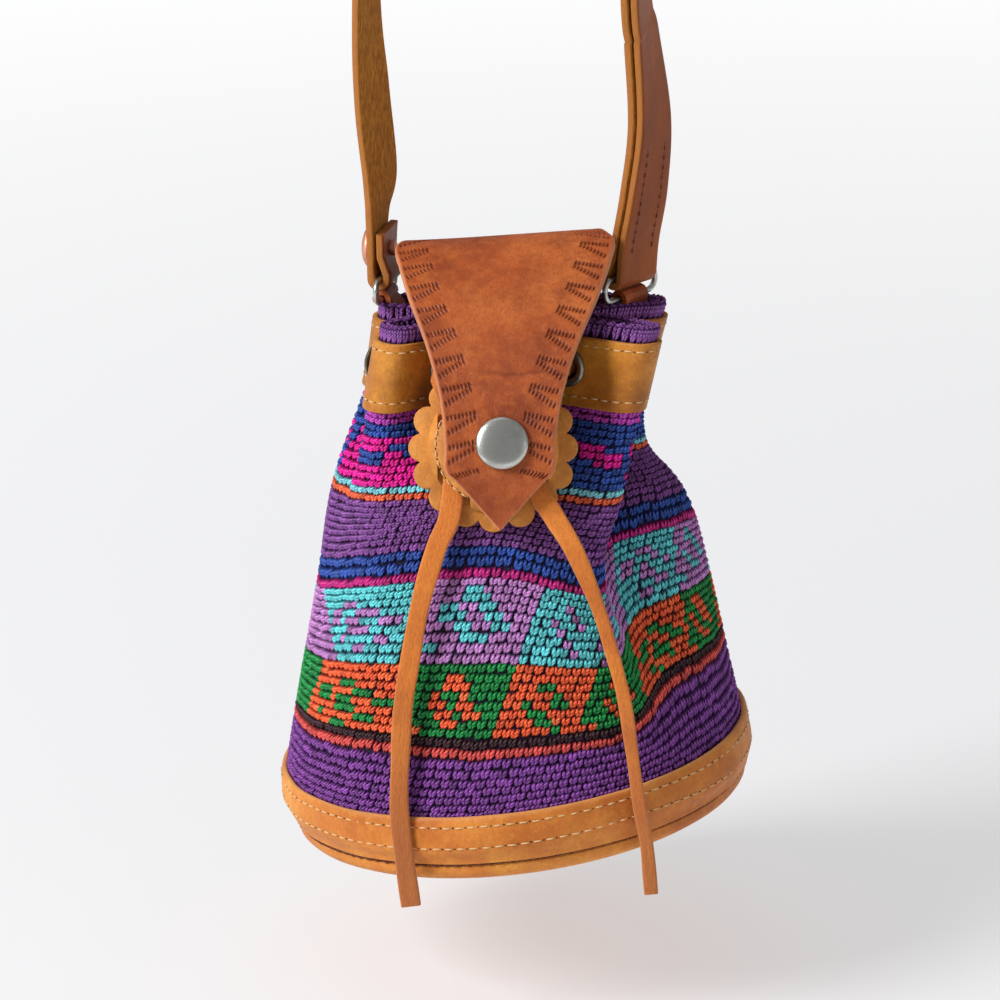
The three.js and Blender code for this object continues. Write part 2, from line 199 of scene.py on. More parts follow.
def makeMaterial(name, paint, *values):  # paint gives the inputs of the shader
    material = bpy.data.materials.new(name)
    material.use_nodes = True
    material.node_tree.nodes.clear()
    wire = Wire(material.node_tree)
    place = wire.make("ShaderNodeTexCoord", {}, {}, 3)
    shader = wire.make("ShaderNodeBsdfPrincipled", {}, paint(wire, place, *values))
    wire.make("ShaderNodeOutputMaterial", {}, {"Surface": shader})
    return material


def noise(wire, place, scale, detail=3.0, roughness=0.55, stretch=None):
    if stretch:
        place = wire.make("ShaderNodeMapping", {}, {"Vector": place, "Scale": stretch})
    sockets = {"Vector": place, "Scale": scale, "Detail": detail, "Roughness": roughness}
    return wire.make("ShaderNodeTexNoise", {}, sockets)


def spread(wire, value, low, high):  # low to high becomes 0 to 1
    return wire.make("ShaderNodeMapRange", {"clamp": True}, {0: value, 1: low, 2: high, 3: 0.0, 4: 1.0})


def ramp(wire, value, stops):  # colours at places along a value
    settings = {"stops": [(place, colour(code)) for place, code in stops.items()]}
    return wire.make("ShaderNodeValToRGB", settings, {"Fac": value})


def sine(wire, angle):
    return wire.make("ShaderNodeMath", {"operation": "SINE"}, {0: angle})


def blendColours(wire, amount, first, second, blend="MIX"):
    settings = {"data_type": "RGBA", "blend_type": blend}
    return wire.make("ShaderNodeMix", settings, {0: amount, 6: first, 7: second}, 2)


def attribute(wire, name):
    return wire.make("ShaderNodeAttribute", {"attribute_name": name}, {}, 2)


def bump(wire, height, distance):
    return wire.make("ShaderNodeBump", {}, {"Strength": 1.0, "Distance": distance, "Height": height})


def leather(wire, place, spec):
    cloud = noise(wire, place, spec["cloudScale"], 5.0, 0.6)
    tint = ramp(wire, cloud, {0.36: spec["dark"], 0.5: spec["mid"], 0.64: spec["light"]})
    smudge = spread(wire, noise(wire, place, spec["smudgeScale"], 6.0, 0.65), 0.46, 0.68)
    tint = blendColours(wire, smudge * 0.8, tint, colour(spec["dark"]))
    speck = noise(wire, place, 900.0, 2.0)
    tint = blendColours(wire, spread(wire, speck, 0.45, 0.75) * 0.5, tint, colour(spec["dark"]))
    rub = spread(wire, noise(wire, place, 240.0, 8.0, 0.75), 0.5, 0.66)
    tint = blendColours(wire, rub * 0.5, tint, colour(spec["light"]))
    # darker towards the deep colour in the flap's stamped notches and at its tip, and painted shade along its
    # crease
    tint = blendColours(wire, attribute(wire, "stamp"), tint, colour(spec["deep"]))
    edge = attribute(wire, "edge")
    tint = blendColours(wire, edge * 0.85, tint, colour(spec["edge"]))
    pores = wire.make("ShaderNodeTexVoronoi", {}, {"Vector": place, "Scale": spec["poreScale"]})
    crease = noise(wire, place, 420.0, 6.0, 0.65)
    normal = bump(wire, spread(wire, pores, 0.0, 0.5) * 0.4 + crease, spec["grain"])
    rough = spec["roughness"] + cloud * 0.12 + edge * 0.25
    return {"Base Color": tint, "Roughness": rough, "Normal": normal, "Specular IOR Level": 0.35}


leathers = {
    "collarLeather": {
        "dark": "9a5a18", "mid": "ba7220", "light": "d08c2c", "deep": "4a2810", "edge": "cf8e45",
        "cloudScale": 45.0, "smudgeScale": 70.0, "poreScale": 2200.0, "grain": 0.00022, "roughness": 0.42,
    },
    "baseLeather": {
        "dark": "b8641e", "mid": "d47e2e", "light": "e69a3e", "deep": "5f3414", "edge": "dc9c60",
        "cloudScale": 38.0, "smudgeScale": 60.0, "poreScale": 2200.0, "grain": 0.00022, "roughness": 0.46,
    },
    "flapLeather": {
        "dark": "8a3a12", "mid": "b25420", "light": "c4682c", "deep": "5a1f0c", "edge": "d08a62",
        "cloudScale": 30.0, "smudgeScale": 95.0, "poreScale": 2600.0, "grain": 0.00025, "roughness": 0.4,
    },
    "rosetteLeather": {
        "dark": "b4702a", "mid": "d68a38", "light": "e29c48", "deep": "55300f", "edge": "e0ab74",
        "cloudScale": 60.0, "smudgeScale": 90.0, "poreScale": 2200.0, "grain": 0.00018, "roughness": 0.48,
    },
}
hides = {name: makeMaterial(name, leather, spec) for name, spec in leathers.items()}


def thongLeather(wire, place):
    cloud = noise(wire, place, 55.0, 5.0, 0.6)
    tint = ramp(wire, cloud, {0.3: "b85e16", 0.5: "d67620", 0.7: "e48628"})
    tint = blendColours(wire, attribute(wire, "worn"), tint, colour("a8602f"))
    nap = noise(wire, place, 1500.0, 4.0, 0.7, (1.0, 1.0, 0.35))
    tint = blendColours(wire, spread(wire, nap, 0.45, 0.7) * 0.4, tint, colour("9a4f18"))
    tint = blendColours(wire, attribute(wire, "edge") * 0.5, tint, colour("c98347"))
    normal = bump(wire, nap, 0.00035)
    rough = 0.62 + nap * 0.2
    return {"Base Color": tint, "Roughness": rough, "Normal": normal, "Sheen Weight": 0.15}


def strapLeather(wire, place):
    cloud = noise(wire, place, 32.0, 5.0, 0.6, (1.0, 1.0, 0.4))
    grain = ramp(wire, cloud, {0.3: "743410", 0.5: "904614", 0.7: "a85818"})
    fibre = noise(wire, place, 1100.0, 5.0, 0.75, (1.0, 1.0, 0.3))
    suede = ramp(wire, fibre, {0.3: "7a4a1a", 0.5: "aa6c24", 0.72: "ce8e38"})
    inner = spread(wire, attribute(wire, "face"), 0.3, 0.8)
    edge = attribute(wire, "edge")
    tint = blendColours(wire, inner, grain, suede)
    tint = blendColours(wire, edge * 0.8, tint, colour("b5763c"))
    crease = noise(wire, place, 380.0, 6.0, 0.65)
    normal = bump(wire, crease * (1 - inner) * 0.5 + fibre * inner + fibre * edge, 0.0005)
    rough = 0.48 + inner * 0.4 + edge * 0.2
    return {"Base Color": tint, "Roughness": rough, "Normal": normal, "Specular IOR Level": 0.18}


def cottonYarn(wire, place):
    tint = wire.make("ShaderNodeAttribute", {"attribute_name": "tint"}, {}, 0)
    flat = wire.make("ShaderNodeUVMap", {"uv_map": "yarn"})
    across, along = (wire.make("ShaderNodeSeparateXYZ", {}, {0: flat}, k) for k in (0, 1))
    ply = sine(wire, (across * 3 + along * 2.2) * (2 * math.pi)) * 0.5 + 0.5  # three plies, twisted
    fuzz = noise(wire, place, 4200.0, 3.0, 0.7)
    front = sine(wire, across * (2 * math.pi)) * 0.5 + 0.5
    crown = sine(wire, along * math.pi)
    light = front * crown * 0.75 + ply * 0.3 + fuzz * 0.2 - 0.15  # painted light and shade: bright on the outer middle of a leg, dark on its side towards the wall and at its ends
    shade = blendColours(wire, light * light, (0.17, 0.12, 0.2, 1), (1.75, 1.7, 1.75, 1))
    tint = blendColours(wire, 1.0, tint, shade, "MULTIPLY")
    # painted highlight: the brightest tops of the legs turn a little whitish
    tint = blendColours(wire, spread(wire, light, 0.7, 1.0) * 0.1, tint, (0.85, 0.82, 0.88, 1))
    normal = bump(wire, ply + fuzz * 0.8, 0.0004)
    return {"Base Color": tint, "Roughness": 0.8, "Normal": normal, "Specular IOR Level": 0.2}


# painted shade: the shell shows between the stitches in dark purple to near black, darkest between the raised
# middles of its loops
def wallShadeYarn(wire, place):
    loops = wire.make("ShaderNodeTexVoronoi", {}, {"Vector": place, "Scale": 420.0})
    tint = ramp(wire, loops, {0.0: "3a1f4c", 0.6: "221030", 1.0: "0e0614"})
    fuzz = noise(wire, place, 2600.0)
    normal = bump(wire, fuzz * 0.4 - loops, 0.0009)
    return {"Base Color": tint, "Roughness": 0.9, "Normal": normal}


def sewingThread(wire, place, light, dark):
    strand = noise(wire, place, 3000.0, 3.0)
    tint = blendColours(wire, spread(wire, strand, 0.35, 0.65), colour(dark), colour(light))
    return {"Base Color": tint, "Roughness": 0.6, "Normal": bump(wire, strand, 0.0002)}


def metal(wire, place, light, dark, roughness):
    haze = spread(wire, noise(wire, place, 240.0, 5.0, 0.65), 0.35, 0.7)
    tint = blendColours(wire, haze, colour(light), colour(dark))
    scratch = noise(wire, place, 2600.0, 3.0, 0.6, (1.0, 0.12, 1.0))
    normal = bump(wire, scratch, 0.00003)
    rough = roughness + haze * 0.15
    return {"Base Color": tint, "Metallic": 1.0, "Roughness": rough, "Normal": normal}


thong = makeMaterial("thongLeather", thongLeather)
strapHide = makeMaterial("strapLeather", strapLeather)
yarn = makeMaterial("cottonYarn", cottonYarn)
crochetBackShade = makeMaterial("crochetBackShade", wallShadeYarn)
paleThread = makeMaterial("paleThread", sewingThread, "f0d3a2", "c99a5e")
brownThread = makeMaterial("brownThread", sewingThread, "7a3420", "4a1d10")
# painted shade: the needle holes beside the stitches are drawn as dark strands
holeShade = makeMaterial("needleHoleShade", sewingThread, "4a2a12", "28140a")
nickel = makeMaterial("nickel", metal, "cccdc8", "a2a39e", 0.24)
antique = makeMaterial("antiquePlate", metal, "98968a", "56524a", 0.28)
copper = makeMaterial("copperRivet", metal, "e2a890", "c88a76", 0.5)
print("materials made")


# Meshes
def newPiece(name, points, faces, material):
    mesh = bpy.data.meshes.new(name)
    mesh.from_pydata(points.tolist(), [], faces)
    mesh.materials.append(material)
    piece = bpy.data.objects.new(name, mesh)
    bpy.context.collection.objects.link(piece)
    return piece


def editAll():
    bpy.ops.object.mode_set(mode="EDIT")
    bpy.ops.mesh.select_all(action="SELECT")


def extrudeUp(height):
    bpy.ops.mesh.extrude_region_move(TRANSFORM_OT_translate={"value": (0, 0, height * mm)})


def addFlat(piece, name, places):  # a flat layout, with a place for each corner of each face
    layer = piece.data.uv_layers.new(name=name)
    layer.data.foreach_set("uv", np.asarray(places, np.float32).ravel())


def addMark(piece, name, kind, key, values):  # a value for each point
    layer = piece.data.attributes.new(name, kind, "POINT")
    layer.data.foreach_set(key, np.asarray(values, np.float32).ravel())


def tidyNormals(piece, angle=40):
    workOn(piece)
    editAll()
    bpy.ops.mesh.normals_make_consistent(inside=False)
    bpy.ops.object.mode_set(mode="OBJECT")
    bpy.ops.object.shade_smooth_by_angle(angle=math.radians(angle))
    deselectAll()


def settle(piece, slot, *nodes):
    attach(piece, "root")
    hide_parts(*nodes)


def recolour(node, material):  # a CAD piece that is shown as it is
    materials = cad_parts[node].data.materials
    materials.clear()
    materials.append(material)


def cutAway(piece, cutter):
    workOn(piece)
    cut = piece.modifiers.new("cut", "BOOLEAN")
    cut.object = cutter
    cut.operation = "DIFFERENCE"
    bpy.ops.object.modifier_apply(modifier="cut")
    bpy.data.objects.remove(cutter)


def roundedSection(width, thick, corner, flats):  # points round a strip's rounded section
    arcs = 3
    points = []
    for k, (sideX, sideY) in enumerate([(1, 1), (-1, 1), (-1, -1), (1, -1)]):
        for step in range(arcs + 1):
            angle = math.radians(90 * k + 90 * step / arcs)
            x = sideX * (width / 2 - corner) + corner * math.cos(angle)
            y = sideY * (thick / 2 - corner) + corner * math.sin(angle)
            points.append((x, y))
        if k % 2 == 0:
            x, y = points[-1]
            points += [(x - 2 * x * step / flats, y) for step in range(1, flats)]
    return np.array(points)


def stripSection(spec):
    return roundedSection(spec["width"], spec["thick"], spec["corner"], spec["flats"])


def gridPiece(name, rings, material, closed=False, marks=None):
    # rings of points, each a closed loop; closed joins the last ring to the first
    count, around = rings.shape[:2]
    quads = []
    places = []
    for row in range(count if closed else count - 1):
        low, high = row * around, (row + 1) % count * around
        for k in range(around):
            beside = (k + 1) % around
            quads.append((low + k, low + beside, high + beside, high + k))
            corners = ((k, row), (k + 1, row), (k + 1, row + 1), (k, row + 1))
            places += [(across / around, above / count) for across, above in corners]
    top = (count - 1) * around
    caps = [] if closed else [tuple(range(around))[::-1], tuple(range(top, top + around))]
    piece = newPiece(name, toFrame(rings.reshape(-1, 3)), quads + caps, material)
    places += [(0.0, 0.0)] * sum(len(cap) for cap in caps)
    addFlat(piece, "OFBake", places)
    for mark, values in (marks or {}).items():
        addMark(piece, mark, "FLOAT", "value", values)
    return piece


def ribbonFrame(at, across):  # directions across a strip and out of its face
    along = unit(np.gradient(at, axis=0))
    face = unit(np.cross(along, across))
    return np.cross(face, along), face


def ribbonPiece(name, at, across, section, material, marks=None, widen=None):
    half, face = ribbonFrame(at, across)
    wide = np.ones(len(at)) if widen is None else widen
    rings = (
        at[:, None]
        + half[:, None] * (section[None, :, :1] * wide[:, None, None])
        + face[:, None] * section[None, :, 1:]
    )
    halfWidth, halfThick = np.abs(section).max(0)
    cut = grown(np.abs(section[:, 0]), halfWidth - 0.35, 0.3)  # the outermost third of a millimetre
    allMarks = {
        "face": np.tile(section[:, 1] / halfThick, (len(at), 1)),
        "edge": np.tile(cut, (len(at), 1)),
    }
    for key, value in (marks or {}).items():
        allMarks[key] = np.tile(value[:, None], (1, len(section)))
    piece = gridPiece(name, rings, material, marks=allMarks)
    tidyNormals(piece)
    return piece


# Short strands: yarn legs and sewing stitches, many in one mesh
strandSides = 6
strandSteps = np.array([0.14, 0.5, 0.86])
strandFat = np.array([0.84, 1.0, 0.84])


def strandFaces():
    faces = []
    places = []
    last = len(strandSteps) - 1
    tail = 1 + strandSides * len(strandSteps)
    for k in range(strandSides):
        beside = (k + 1) % strandSides
        left, right = k / strandSides, (k + 1) / strandSides
        faces.append((0, 1 + k, 1 + beside))
        places += [((left + right) / 2, 0), (left, strandSteps[0]), (right, strandSteps[0])]
        for ring in range(last):
            low, high = 1 + ring * strandSides, 1 + (ring + 1) * strandSides
            faces.append((low + k, high + k, high + beside, low + beside))
            before, after = strandSteps[ring], strandSteps[ring + 1]
            places += [(left, before), (left, after), (right, after), (right, before)]
        low = 1 + last * strandSides
        faces.append((tail, low + beside, low + k))
        places += [((left + right) / 2, 1), (right, strandSteps[-1]), (left, strandSteps[-1])]
    return faces, np.array(places)


def strandPiece(name, starts, middles, ends, outs, radii, material, tints=None):
    count = len(starts)
    t = strandSteps[None, :, None]
    centre = (
        2 * (t - 0.5) * (t - 1) * starts[:, None]
        + 4 * t * (1 - t) * middles[:, None]
        + 2 * t * (t - 0.5) * ends[:, None]
    )
    along = unit(
        (4 * t - 3) * starts[:, None] + (4 - 8 * t) * middles[:, None] + (4 * t - 1) * ends[:, None]
    )
    side = unit(np.cross(along, outs[:, None]))
    lift = np.cross(side, along)
    angles = np.arange(strandSides) * 2 * math.pi / strandSides
    reach = (radii[:, None] * strandFat[None])[:, :, None, None]
    rings = centre[:, :, None] + reach * (
        np.cos(angles)[None, None, :, None] * side[:, :, None]
        + np.sin(angles)[None, None, :, None] * lift[:, :, None]
    )
    points = np.concatenate([starts[:, None], rings.reshape(count, -1, 3), ends[:, None]], 1)
    each = points.shape[1]
    faces, places = strandFaces()
    allFaces = [tuple(corner + each * n for corner in face) for n in range(count) for face in faces]
    piece = newPiece(name, toFrame(points.reshape(-1, 3)), allFaces, material)
    piece.data.polygons.foreach_set("use_smooth", np.ones(len(allFaces), bool))
    cells = math.ceil(math.sqrt(count))
    cell = np.stack([np.arange(count) % cells, np.arange(count) // cells], -1)
    addFlat(piece, "OFBake", (cell[:, None] + 0.08 + 0.84 * places[None]) / cells)
    addFlat(piece, "yarn", np.tile(places, (count, 1)))
    if tints is not None:
        addMark(piece, "tint", "FLOAT_COLOR", "color", np.repeat(tints, each, 0))
    return piece


# sunk, raised and holeFat are shares of the thread's radius, holeHalf of the pitch, the others millimetres
stitch = {"sunk": 0.6, "raised": 0.9, "holeFat": 1.05, "holeHalf": 0.09, "holeSunk": 0.15, "uneven": 0.05}


def sewRow(path, outs, pitch, share, radius):
    # stitches and needle holes along a fine path: starts, middles, ends, outs, radii
    total = pathLengths(path)
    count = int(total[-1] / pitch)
    starts = np.arange(count) * total[-1] / count

    def normals(lengths):
        return unit(np.stack([np.interp(lengths, total, outs[:, k]) for k in range(3)], -1))

    jitter = random.normal(0, stitch["uneven"], (count, 3))
    out = normals(starts + pitch * share / 2)
    first, last = (
        alongPath(path, at) + jitter - out * (radius * stitch["sunk"])
        for at in (starts, starts + pitch * share)
    )
    middle = (first + last) / 2 + out * (radius * stitch["raised"])
    holeAt = starts + pitch * (1 + share) / 2
    holeOut = normals(holeAt)
    low, high = (
        alongPath(path, holeAt + side * pitch * stitch["holeHalf"]) - holeOut * stitch["holeSunk"]
        for side in (-1, 1)
    )
    return {
        "thread": (first, middle, last, out, np.full(count, radius)),
        "holes": (low, (low + high) / 2, high, holeOut, np.full(count, radius * stitch["holeFat"])),
    }


def circle(radius, z, steps):  # once round, the first point again at the end
    angles = np.linspace(0, 2 * math.pi, steps)
    return np.stack([radius * np.cos(angles), radius * np.sin(angles), np.full(steps, float(z))], -1)


def sewPiece(name, rows, thread, slot):
    for part, material in (("thread", thread), ("holes", holeShade)):
        joined = [np.concatenate([row[part][k] for row in rows]) for k in range(5)]
        settle(strandPiece(f"{name}_{part}", *joined, material), slot)


# The wall: fold lines round the bag, each through seven levels from the foot to the rim
baseFoot = {"x": 7, "tilt": 7.6, "rings": [(68, 6), (69.2, 21.2)]}  # radius and height at two levels
# scale, shift along x and height, at the collar's foot, its top and the rim
neck = {"lean": 0.06, "rings": [(0.97, -2, 128.5), (0.98, 2, 149.5), (0.99, 2.6, 153.4)]}
# neckX, neckY, share drawn in at the shoulder, waistX, waistY, waistZ, degrees round the base
folds = np.array([
    (1, -9, 0.3, 2, -47, 87, -92),
    (21, -15, 0.35, 15, -47, 84, -77),
    (39, -27, 0.45, 27, -43, 80, -63),
    (44.5, -21, 0.45, 31, -36, 80, -52),
    (34, -9, 0.55, 29, -27, 84, -42),
    (22, 0, 0.5, 33, -18, 88, -31),
    (35, 8, 0.8, 43, -13, 90, -18),
    (46.5, 12, 1, 53, -4, 90, -3),
    (45, 24, 0.9, 58, 12, 89, 17),
    (26, 27, 0.4, 42, 38, 88, 48),
    (3, 21, 0.3, 3, 48, 84, 90),
    (-20, 27, 0.4, -34, 38, 78, 130),
    (-36.5, 24, 0.3, -51, 20, 72, 158),
    (-37.5, 9, 0.3, -55, 3, 69, 178),
    (-20, 0, 0.2, -51, -11, 72, 193),
    (-37.5, -17, 0.35, -47, -23, 76, 208),
    (-32, -28, 0.4, -36, -39, 82, 228),
    (-17, -16, 0.3, -14, -47, 87, 250),
])
foldCount = len(folds)
topLevel = 6


def tiltedBase(points):  # from the base's own level to the way it hangs
    angle = math.radians(baseFoot["tilt"])
    x, y, z = np.moveaxis(np.asarray(points, float), -1, 0)
    across = x * math.cos(angle) - z * math.sin(angle) + baseFoot["x"]
    return np.stack([across, y, x * math.sin(angle) + z * math.cos(angle)], -1)


def wallNet():
    neckX, neckY, share, waistX, waistY, waistZ, degrees = folds.T
    angle = np.radians(degrees)
    foot = [
        tiltedBase(np.stack([radius * np.cos(angle), radius * np.sin(angle), np.full(foldCount, z)], -1))
        for radius, z in baseFoot["rings"]
    ]
    throat = [
        np.stack([neckX * scale + shift, neckY * scale, z - neck["lean"] * neckY], -1)
        for scale, shift, z in neck["rings"]
    ]
    waist = np.stack([waistX, waistY, waistZ], -1)
    shoulder = waist + (throat[0] - waist) * share[:, None]
    shoulder[:, 2] = (waist[:, 2] + throat[0][:, 2]) / 2
    return np.stack([*foot, waist, shoulder, *throat])


net = wallNet()


def wallAt(levels, places):  # points of the wall, a level and a place in folds for each
    levels, places = np.broadcast_arrays(np.asarray(levels, float), np.asarray(places, float))
    tall = curveWeights(levels.ravel(), topLevel + 1, False)
    wide = curveWeights(places.ravel(), foldCount, True)
    points = np.einsum("nk,klc,nl->nc", tall, net, wide)
    return points.reshape(levels.shape + (3,))


def wallOut(levels, places):  # level direction out of the wall
    tangent = wallAt(levels, np.asarray(places) + 0.01) - wallAt(levels, np.asarray(places) - 0.01)
    return unit(np.stack([tangent[..., 1], -tangent[..., 0], np.zeros(tangent.shape[:-1])], -1))


def wallNormal(levels, places):
    beside = wallAt(levels, np.asarray(places) + 0.02) - wallAt(levels, np.asarray(places) - 0.02)
    above = wallAt(np.asarray(levels) + 0.02, places) - wallAt(np.asarray(levels) - 0.02, places)
    return unit(np.cross(beside, above))


eyeletPlaces = [1, 4, 6, 9.45, 10.6, 13.5, 14.8, 17]
eyeletLevel = 4.5
eyeletAt = wallAt(eyeletLevel, np.array(eyeletPlaces, float))
eyeletOut = wallOut(eyeletLevel, np.array(eyeletPlaces, float))


# Laces: flat thongs from the front eyelets, through the rosette and down the front
# twist and wear: where they begin and how soon they are full, in shares of a lace's length
laces = {
    "width": 6.2, "thick": 2.2, "corner": 0.7, "flats": 4, "steps": 150, "diameter": 0.0062,
    "depths": [0, 2, 4.5], "wavy": 0.05, "waves": (34, 13), "worn": 0.7,
    "twist": (0.36, 0.2), "wear": (0.62, 0.3),
}
# x, y, z and how far the thong has turned flat to the front
laceRoutes = {
    "lace_right": {
        "eyelet": 0, "length": 0.178, "twisted": 0.36,
        "rows": [
            (18.5, -26.9, 141.2, 0.15), (15, -32.6, 140, 0.5), (10.2, -32.7, 134.2, 1),
            (9.4, -35.3, 128.2, 1), (9.2, -38.2, 120.8, 1), (10.4, -41.9, 112.2, 1), (16.4, -46.5, 103, 1),
            (21.8, -50, 94.5, 1), (28, -51, 79.5, 1), (32.2, -52.5, 66.4, 1), (36.2, -55.5, 51.6, 1),
            (38.6, -62.2, 37, 1), (40.7, -65.8, 22.2, 1), (43, -66, 9.9, 1), (44.5, -66, -5.9, 1),
        ],
    },
    "lace_left": {
        "eyelet": 7, "length": 0.178, "twisted": 0.08,
        "rows": [
            (-18.6, -26.6, 142.6, 0.15), (-17, -32.2, 141, 0.5), (-14.4, -32.7, 134.2, 1),
            (-13.6, -35.3, 128.2, 1), (-13.5, -38.2, 120.8, 1), (-13.6, -41.9, 112.2, 1),
            (-15, -46.5, 103, 1), (-18.6, -50.3, 95.5, 1), (-23.3, -54, 79.4, 1), (-26.6, -57.5, 61.4, 1),
            (-28.4, -60, 49.4, 1), (-29.2, -62.5, 34.5, 1), (-29.5, -65, 19.7, 1), (-28, -67, 4.9, 1),
            (-26.2, -67, -9.3, 1),
        ],
    },
}


def throughEyelet(index, depths):
    return [np.append(eyeletAt[index] + eyeletOut[index] * depth, 0) for depth in depths]


def addLace(name, route):
    rows = throughEyelet(route["eyelet"], laces["depths"]) + [np.array(row, float) for row in route["rows"]]
    smooth = smoothRows(rows, laces["steps"])
    turn = smooth[:, 3:]
    across = unit(up * (1 - turn) + np.array([1.0, 0, 0]) * turn)
    at = smooth[:, :3]
    lengths = pathLengths(at) / pathLengths(at)[-1]
    short, long = laces["waves"]
    uneven = 1 + laces["wavy"] * np.sin(lengths * short) * np.sin(lengths * long + 1)
    uneven -= route["twisted"] * grown(lengths, *laces["twist"])  # narrower where it turns on itself
    worn = grown(lengths, *laces["wear"]) * laces["worn"]
    piece = ribbonPiece(name + "_thong", at, across, stripSection(laces), thong, {"worn": worn}, uneven)
    settle(piece, "lace_leather", name)
    path = toFrame(at)
    print(name, "length", round(float(pathLengths(path)[-1]), 4))


for laceName in laceRoutes:
    addLace(laceName, laceRoutes[laceName])


# Turned metal and leather: a circle drawn up through the rings of a profile
def turnedPiece(name, spec, material, hollow=False):
    profile = spec["profile"]
    radius, height = profile[0]
    ring = {"vertices": spec["segments"], "radius": radius * mm, "location": (0, 0, height * mm)}
    piece = begin(bpy.ops.mesh.primitive_circle_add, **ring)
    piece.name = name
    bpy.ops.object.transform_apply(location=True, rotation=True, scale=True)
    editAll()
    for (lastRadius, lastHeight), (radius, height) in zip(profile, profile[1:]):
        extrudeUp(height - lastHeight)
        grow = radius / lastRadius
        bpy.ops.transform.resize(value=(grow, grow, 1), center_override=(0, 0, height * mm))
    bpy.ops.mesh.select_all(action="DESELECT")
    bpy.ops.mesh.select_mode(type="EDGE")
    bpy.ops.mesh.select_non_manifold()
    if hollow:
        bpy.ops.mesh.bridge_edge_loops()
    else:
        bpy.ops.mesh.fill_holes(sides=0)
    bpy.ops.object.mode_set(mode="OBJECT")
    piece.data.materials.append(material)
    tidyNormals(piece, 35)
    return piece


def pointAlong(piece, at, axis):  # its Z axis along a direction, at a place on the bag
    turn = Vector((0, 0, 1)).rotation_difference(Vector(axis)).to_matrix().to_4x4()
    piece.data.transform(Matrix.Translation(Vector(toFrame(at))) @ turn)
    return piece


# Eyelets: rolled flange outside, washer inside
eyelets = {
    "segments": 48, "hole": {"vertices": 32, "radius": 4.7 * mm, "depth": 11 * mm},
    "profile": [
        (3.8, -3.6), (4.1, -3.95), (5.6, -3.9), (6.1, -3.5), (6.0, -3.05), (4.4, -3.0), (4.4, 2.35),
        (6.0, 2.35), (6.25, 2.7), (6.1, 3.15), (5.6, 3.5), (5.0, 3.62), (4.4, 3.5), (4.0, 3.1), (3.8, 2.5),
    ],
}


def addEyelets():
    model = turnedPiece("eyelet_model", eyelets, antique, hollow=True)
    for index in range(len(eyeletPlaces)):
        piece = model.copy()
        piece.data = model.data.copy()
        piece.name = f"eyelet_ring_{index + 1}"
        bpy.context.collection.objects.link(piece)
        pointAlong(piece, eyeletAt[index], eyeletOut[index])
        settle(piece, "antique_eyelet", f"eyelet_{index + 1}")
    bpy.data.objects.remove(model)


addEyelets()

# Press stud cap on the flap
stud = {
    "at": (0.6, -44, 125.5), "lean": 23, "segments": 72,
    "profile": [
        (1.8, -1.5), (1.8, 1.65), (7.2, 1.7), (7.65, 1.9), (7.75, 2.2), (7.65, 2.55), (7.35, 2.85),
        (6.9, 3.1), (6.3, 3.3), (5.4, 3.48), (4.2, 3.62), (2.8, 3.72), (1.4, 3.78), (0.3, 3.8),
    ],
}
leanOut = (0, -math.cos(math.radians(stud["lean"])), math.sin(math.radians(stud["lean"])))


def addStud():
    cap = turnedPiece("stud_cap", stud, nickel)
    settle(pointAlong(cap, stud["at"], leanOut), "nickel", "snap_cap")
    recolour("snap_stud", nickel)


addStud()
print("eyelets and stud made")

# Rosette: scalloped flower behind the laces, domed disc in front of them
rosette = {
    "at": (-2, -34.4, 121.4), "petals": 16, "petalCentre": 20.6, "petalRadius": 4.3, "petalSteps": 9,
    "thick": 1.8, "soft": 0.4, "segments": 96,
    "channels": (-11.5, 11.5), "channelZ": 3.65, "channelSize": (9.6, 60, 3.9),
    "profile": [
        (0.3, 5.4), (10.5, 5.4), (15.4, 4.3), (17.2, 2.1), (19.0, 2.1), (19.3, 2.5), (19.2, 3.4), (18.4, 4.6),
        (16.5, 6.0), (11, 7.1), (0.3, 7.3),
    ],
    "sewRadius": 16.9, "sewZ": 6.05, "sewSlope": 0.35, "sewSteps": 200, "stitch": (3.0, 0.6, 0.26),
}
rosetteFrame = (
    Matrix.Translation(Vector(toFrame(rosette["at"])))
    @ Matrix.Rotation(math.pi / 2 - math.radians(stud["lean"]), 4, "X")
)


def addFlower():
    count = rosette["petals"] * rosette["petalSteps"]
    flower = begin(bpy.ops.mesh.primitive_circle_add, vertices=count, fill_type="NGON")
    flower.name = "rosette_flower"
    half = math.pi / rosette["petals"]
    chord = rosette["petalCentre"] * math.sin(half) / rosette["petalRadius"]
    reach = math.pi / 2 + half - math.acos(chord)
    for index, vertex in enumerate(flower.data.vertices):
        petal, step = divmod(index, rosette["petalSteps"])
        middle = petal * 2 * half
        angle = middle + reach * (2 * step / rosette["petalSteps"] - 1)
        x = rosette["petalCentre"] * math.cos(middle) + rosette["petalRadius"] * math.cos(angle)
        y = rosette["petalCentre"] * math.sin(middle) + rosette["petalRadius"] * math.sin(angle)
        vertex.co = (x * mm, y * mm, 0)
    editAll()
    extrudeUp(rosette["thick"])
    bpy.ops.object.mode_set(mode="OBJECT")
    soften = flower.modifiers.new("soften", "BEVEL")
    soften.width = rosette["soft"] * mm
    soften.segments = 2
    bpy.ops.object.modifier_apply(modifier="soften")
    flower.data.materials.append(hides["rosetteLeather"])
    tidyNormals(flower, 35)
    flower.data.transform(rosetteFrame)
    settle(flower, "collar_leather", "rosette_back")


def addDisc():
    disc = turnedPiece("rosette_disc", rosette, hides["rosetteLeather"])
    scale = [size * mm for size in rosette["channelSize"]]
    for x in rosette["channels"]:  # for the two laces
        at = (x * mm, 0, rosette["channelZ"] * mm)
        cutAway(disc, begin(bpy.ops.mesh.primitive_cube_add, size=1, location=at, scale=scale))
    tidyNormals(disc, 35)
    disc.data.transform(rosetteFrame)
    settle(disc, "collar_leather", "rosette_front")


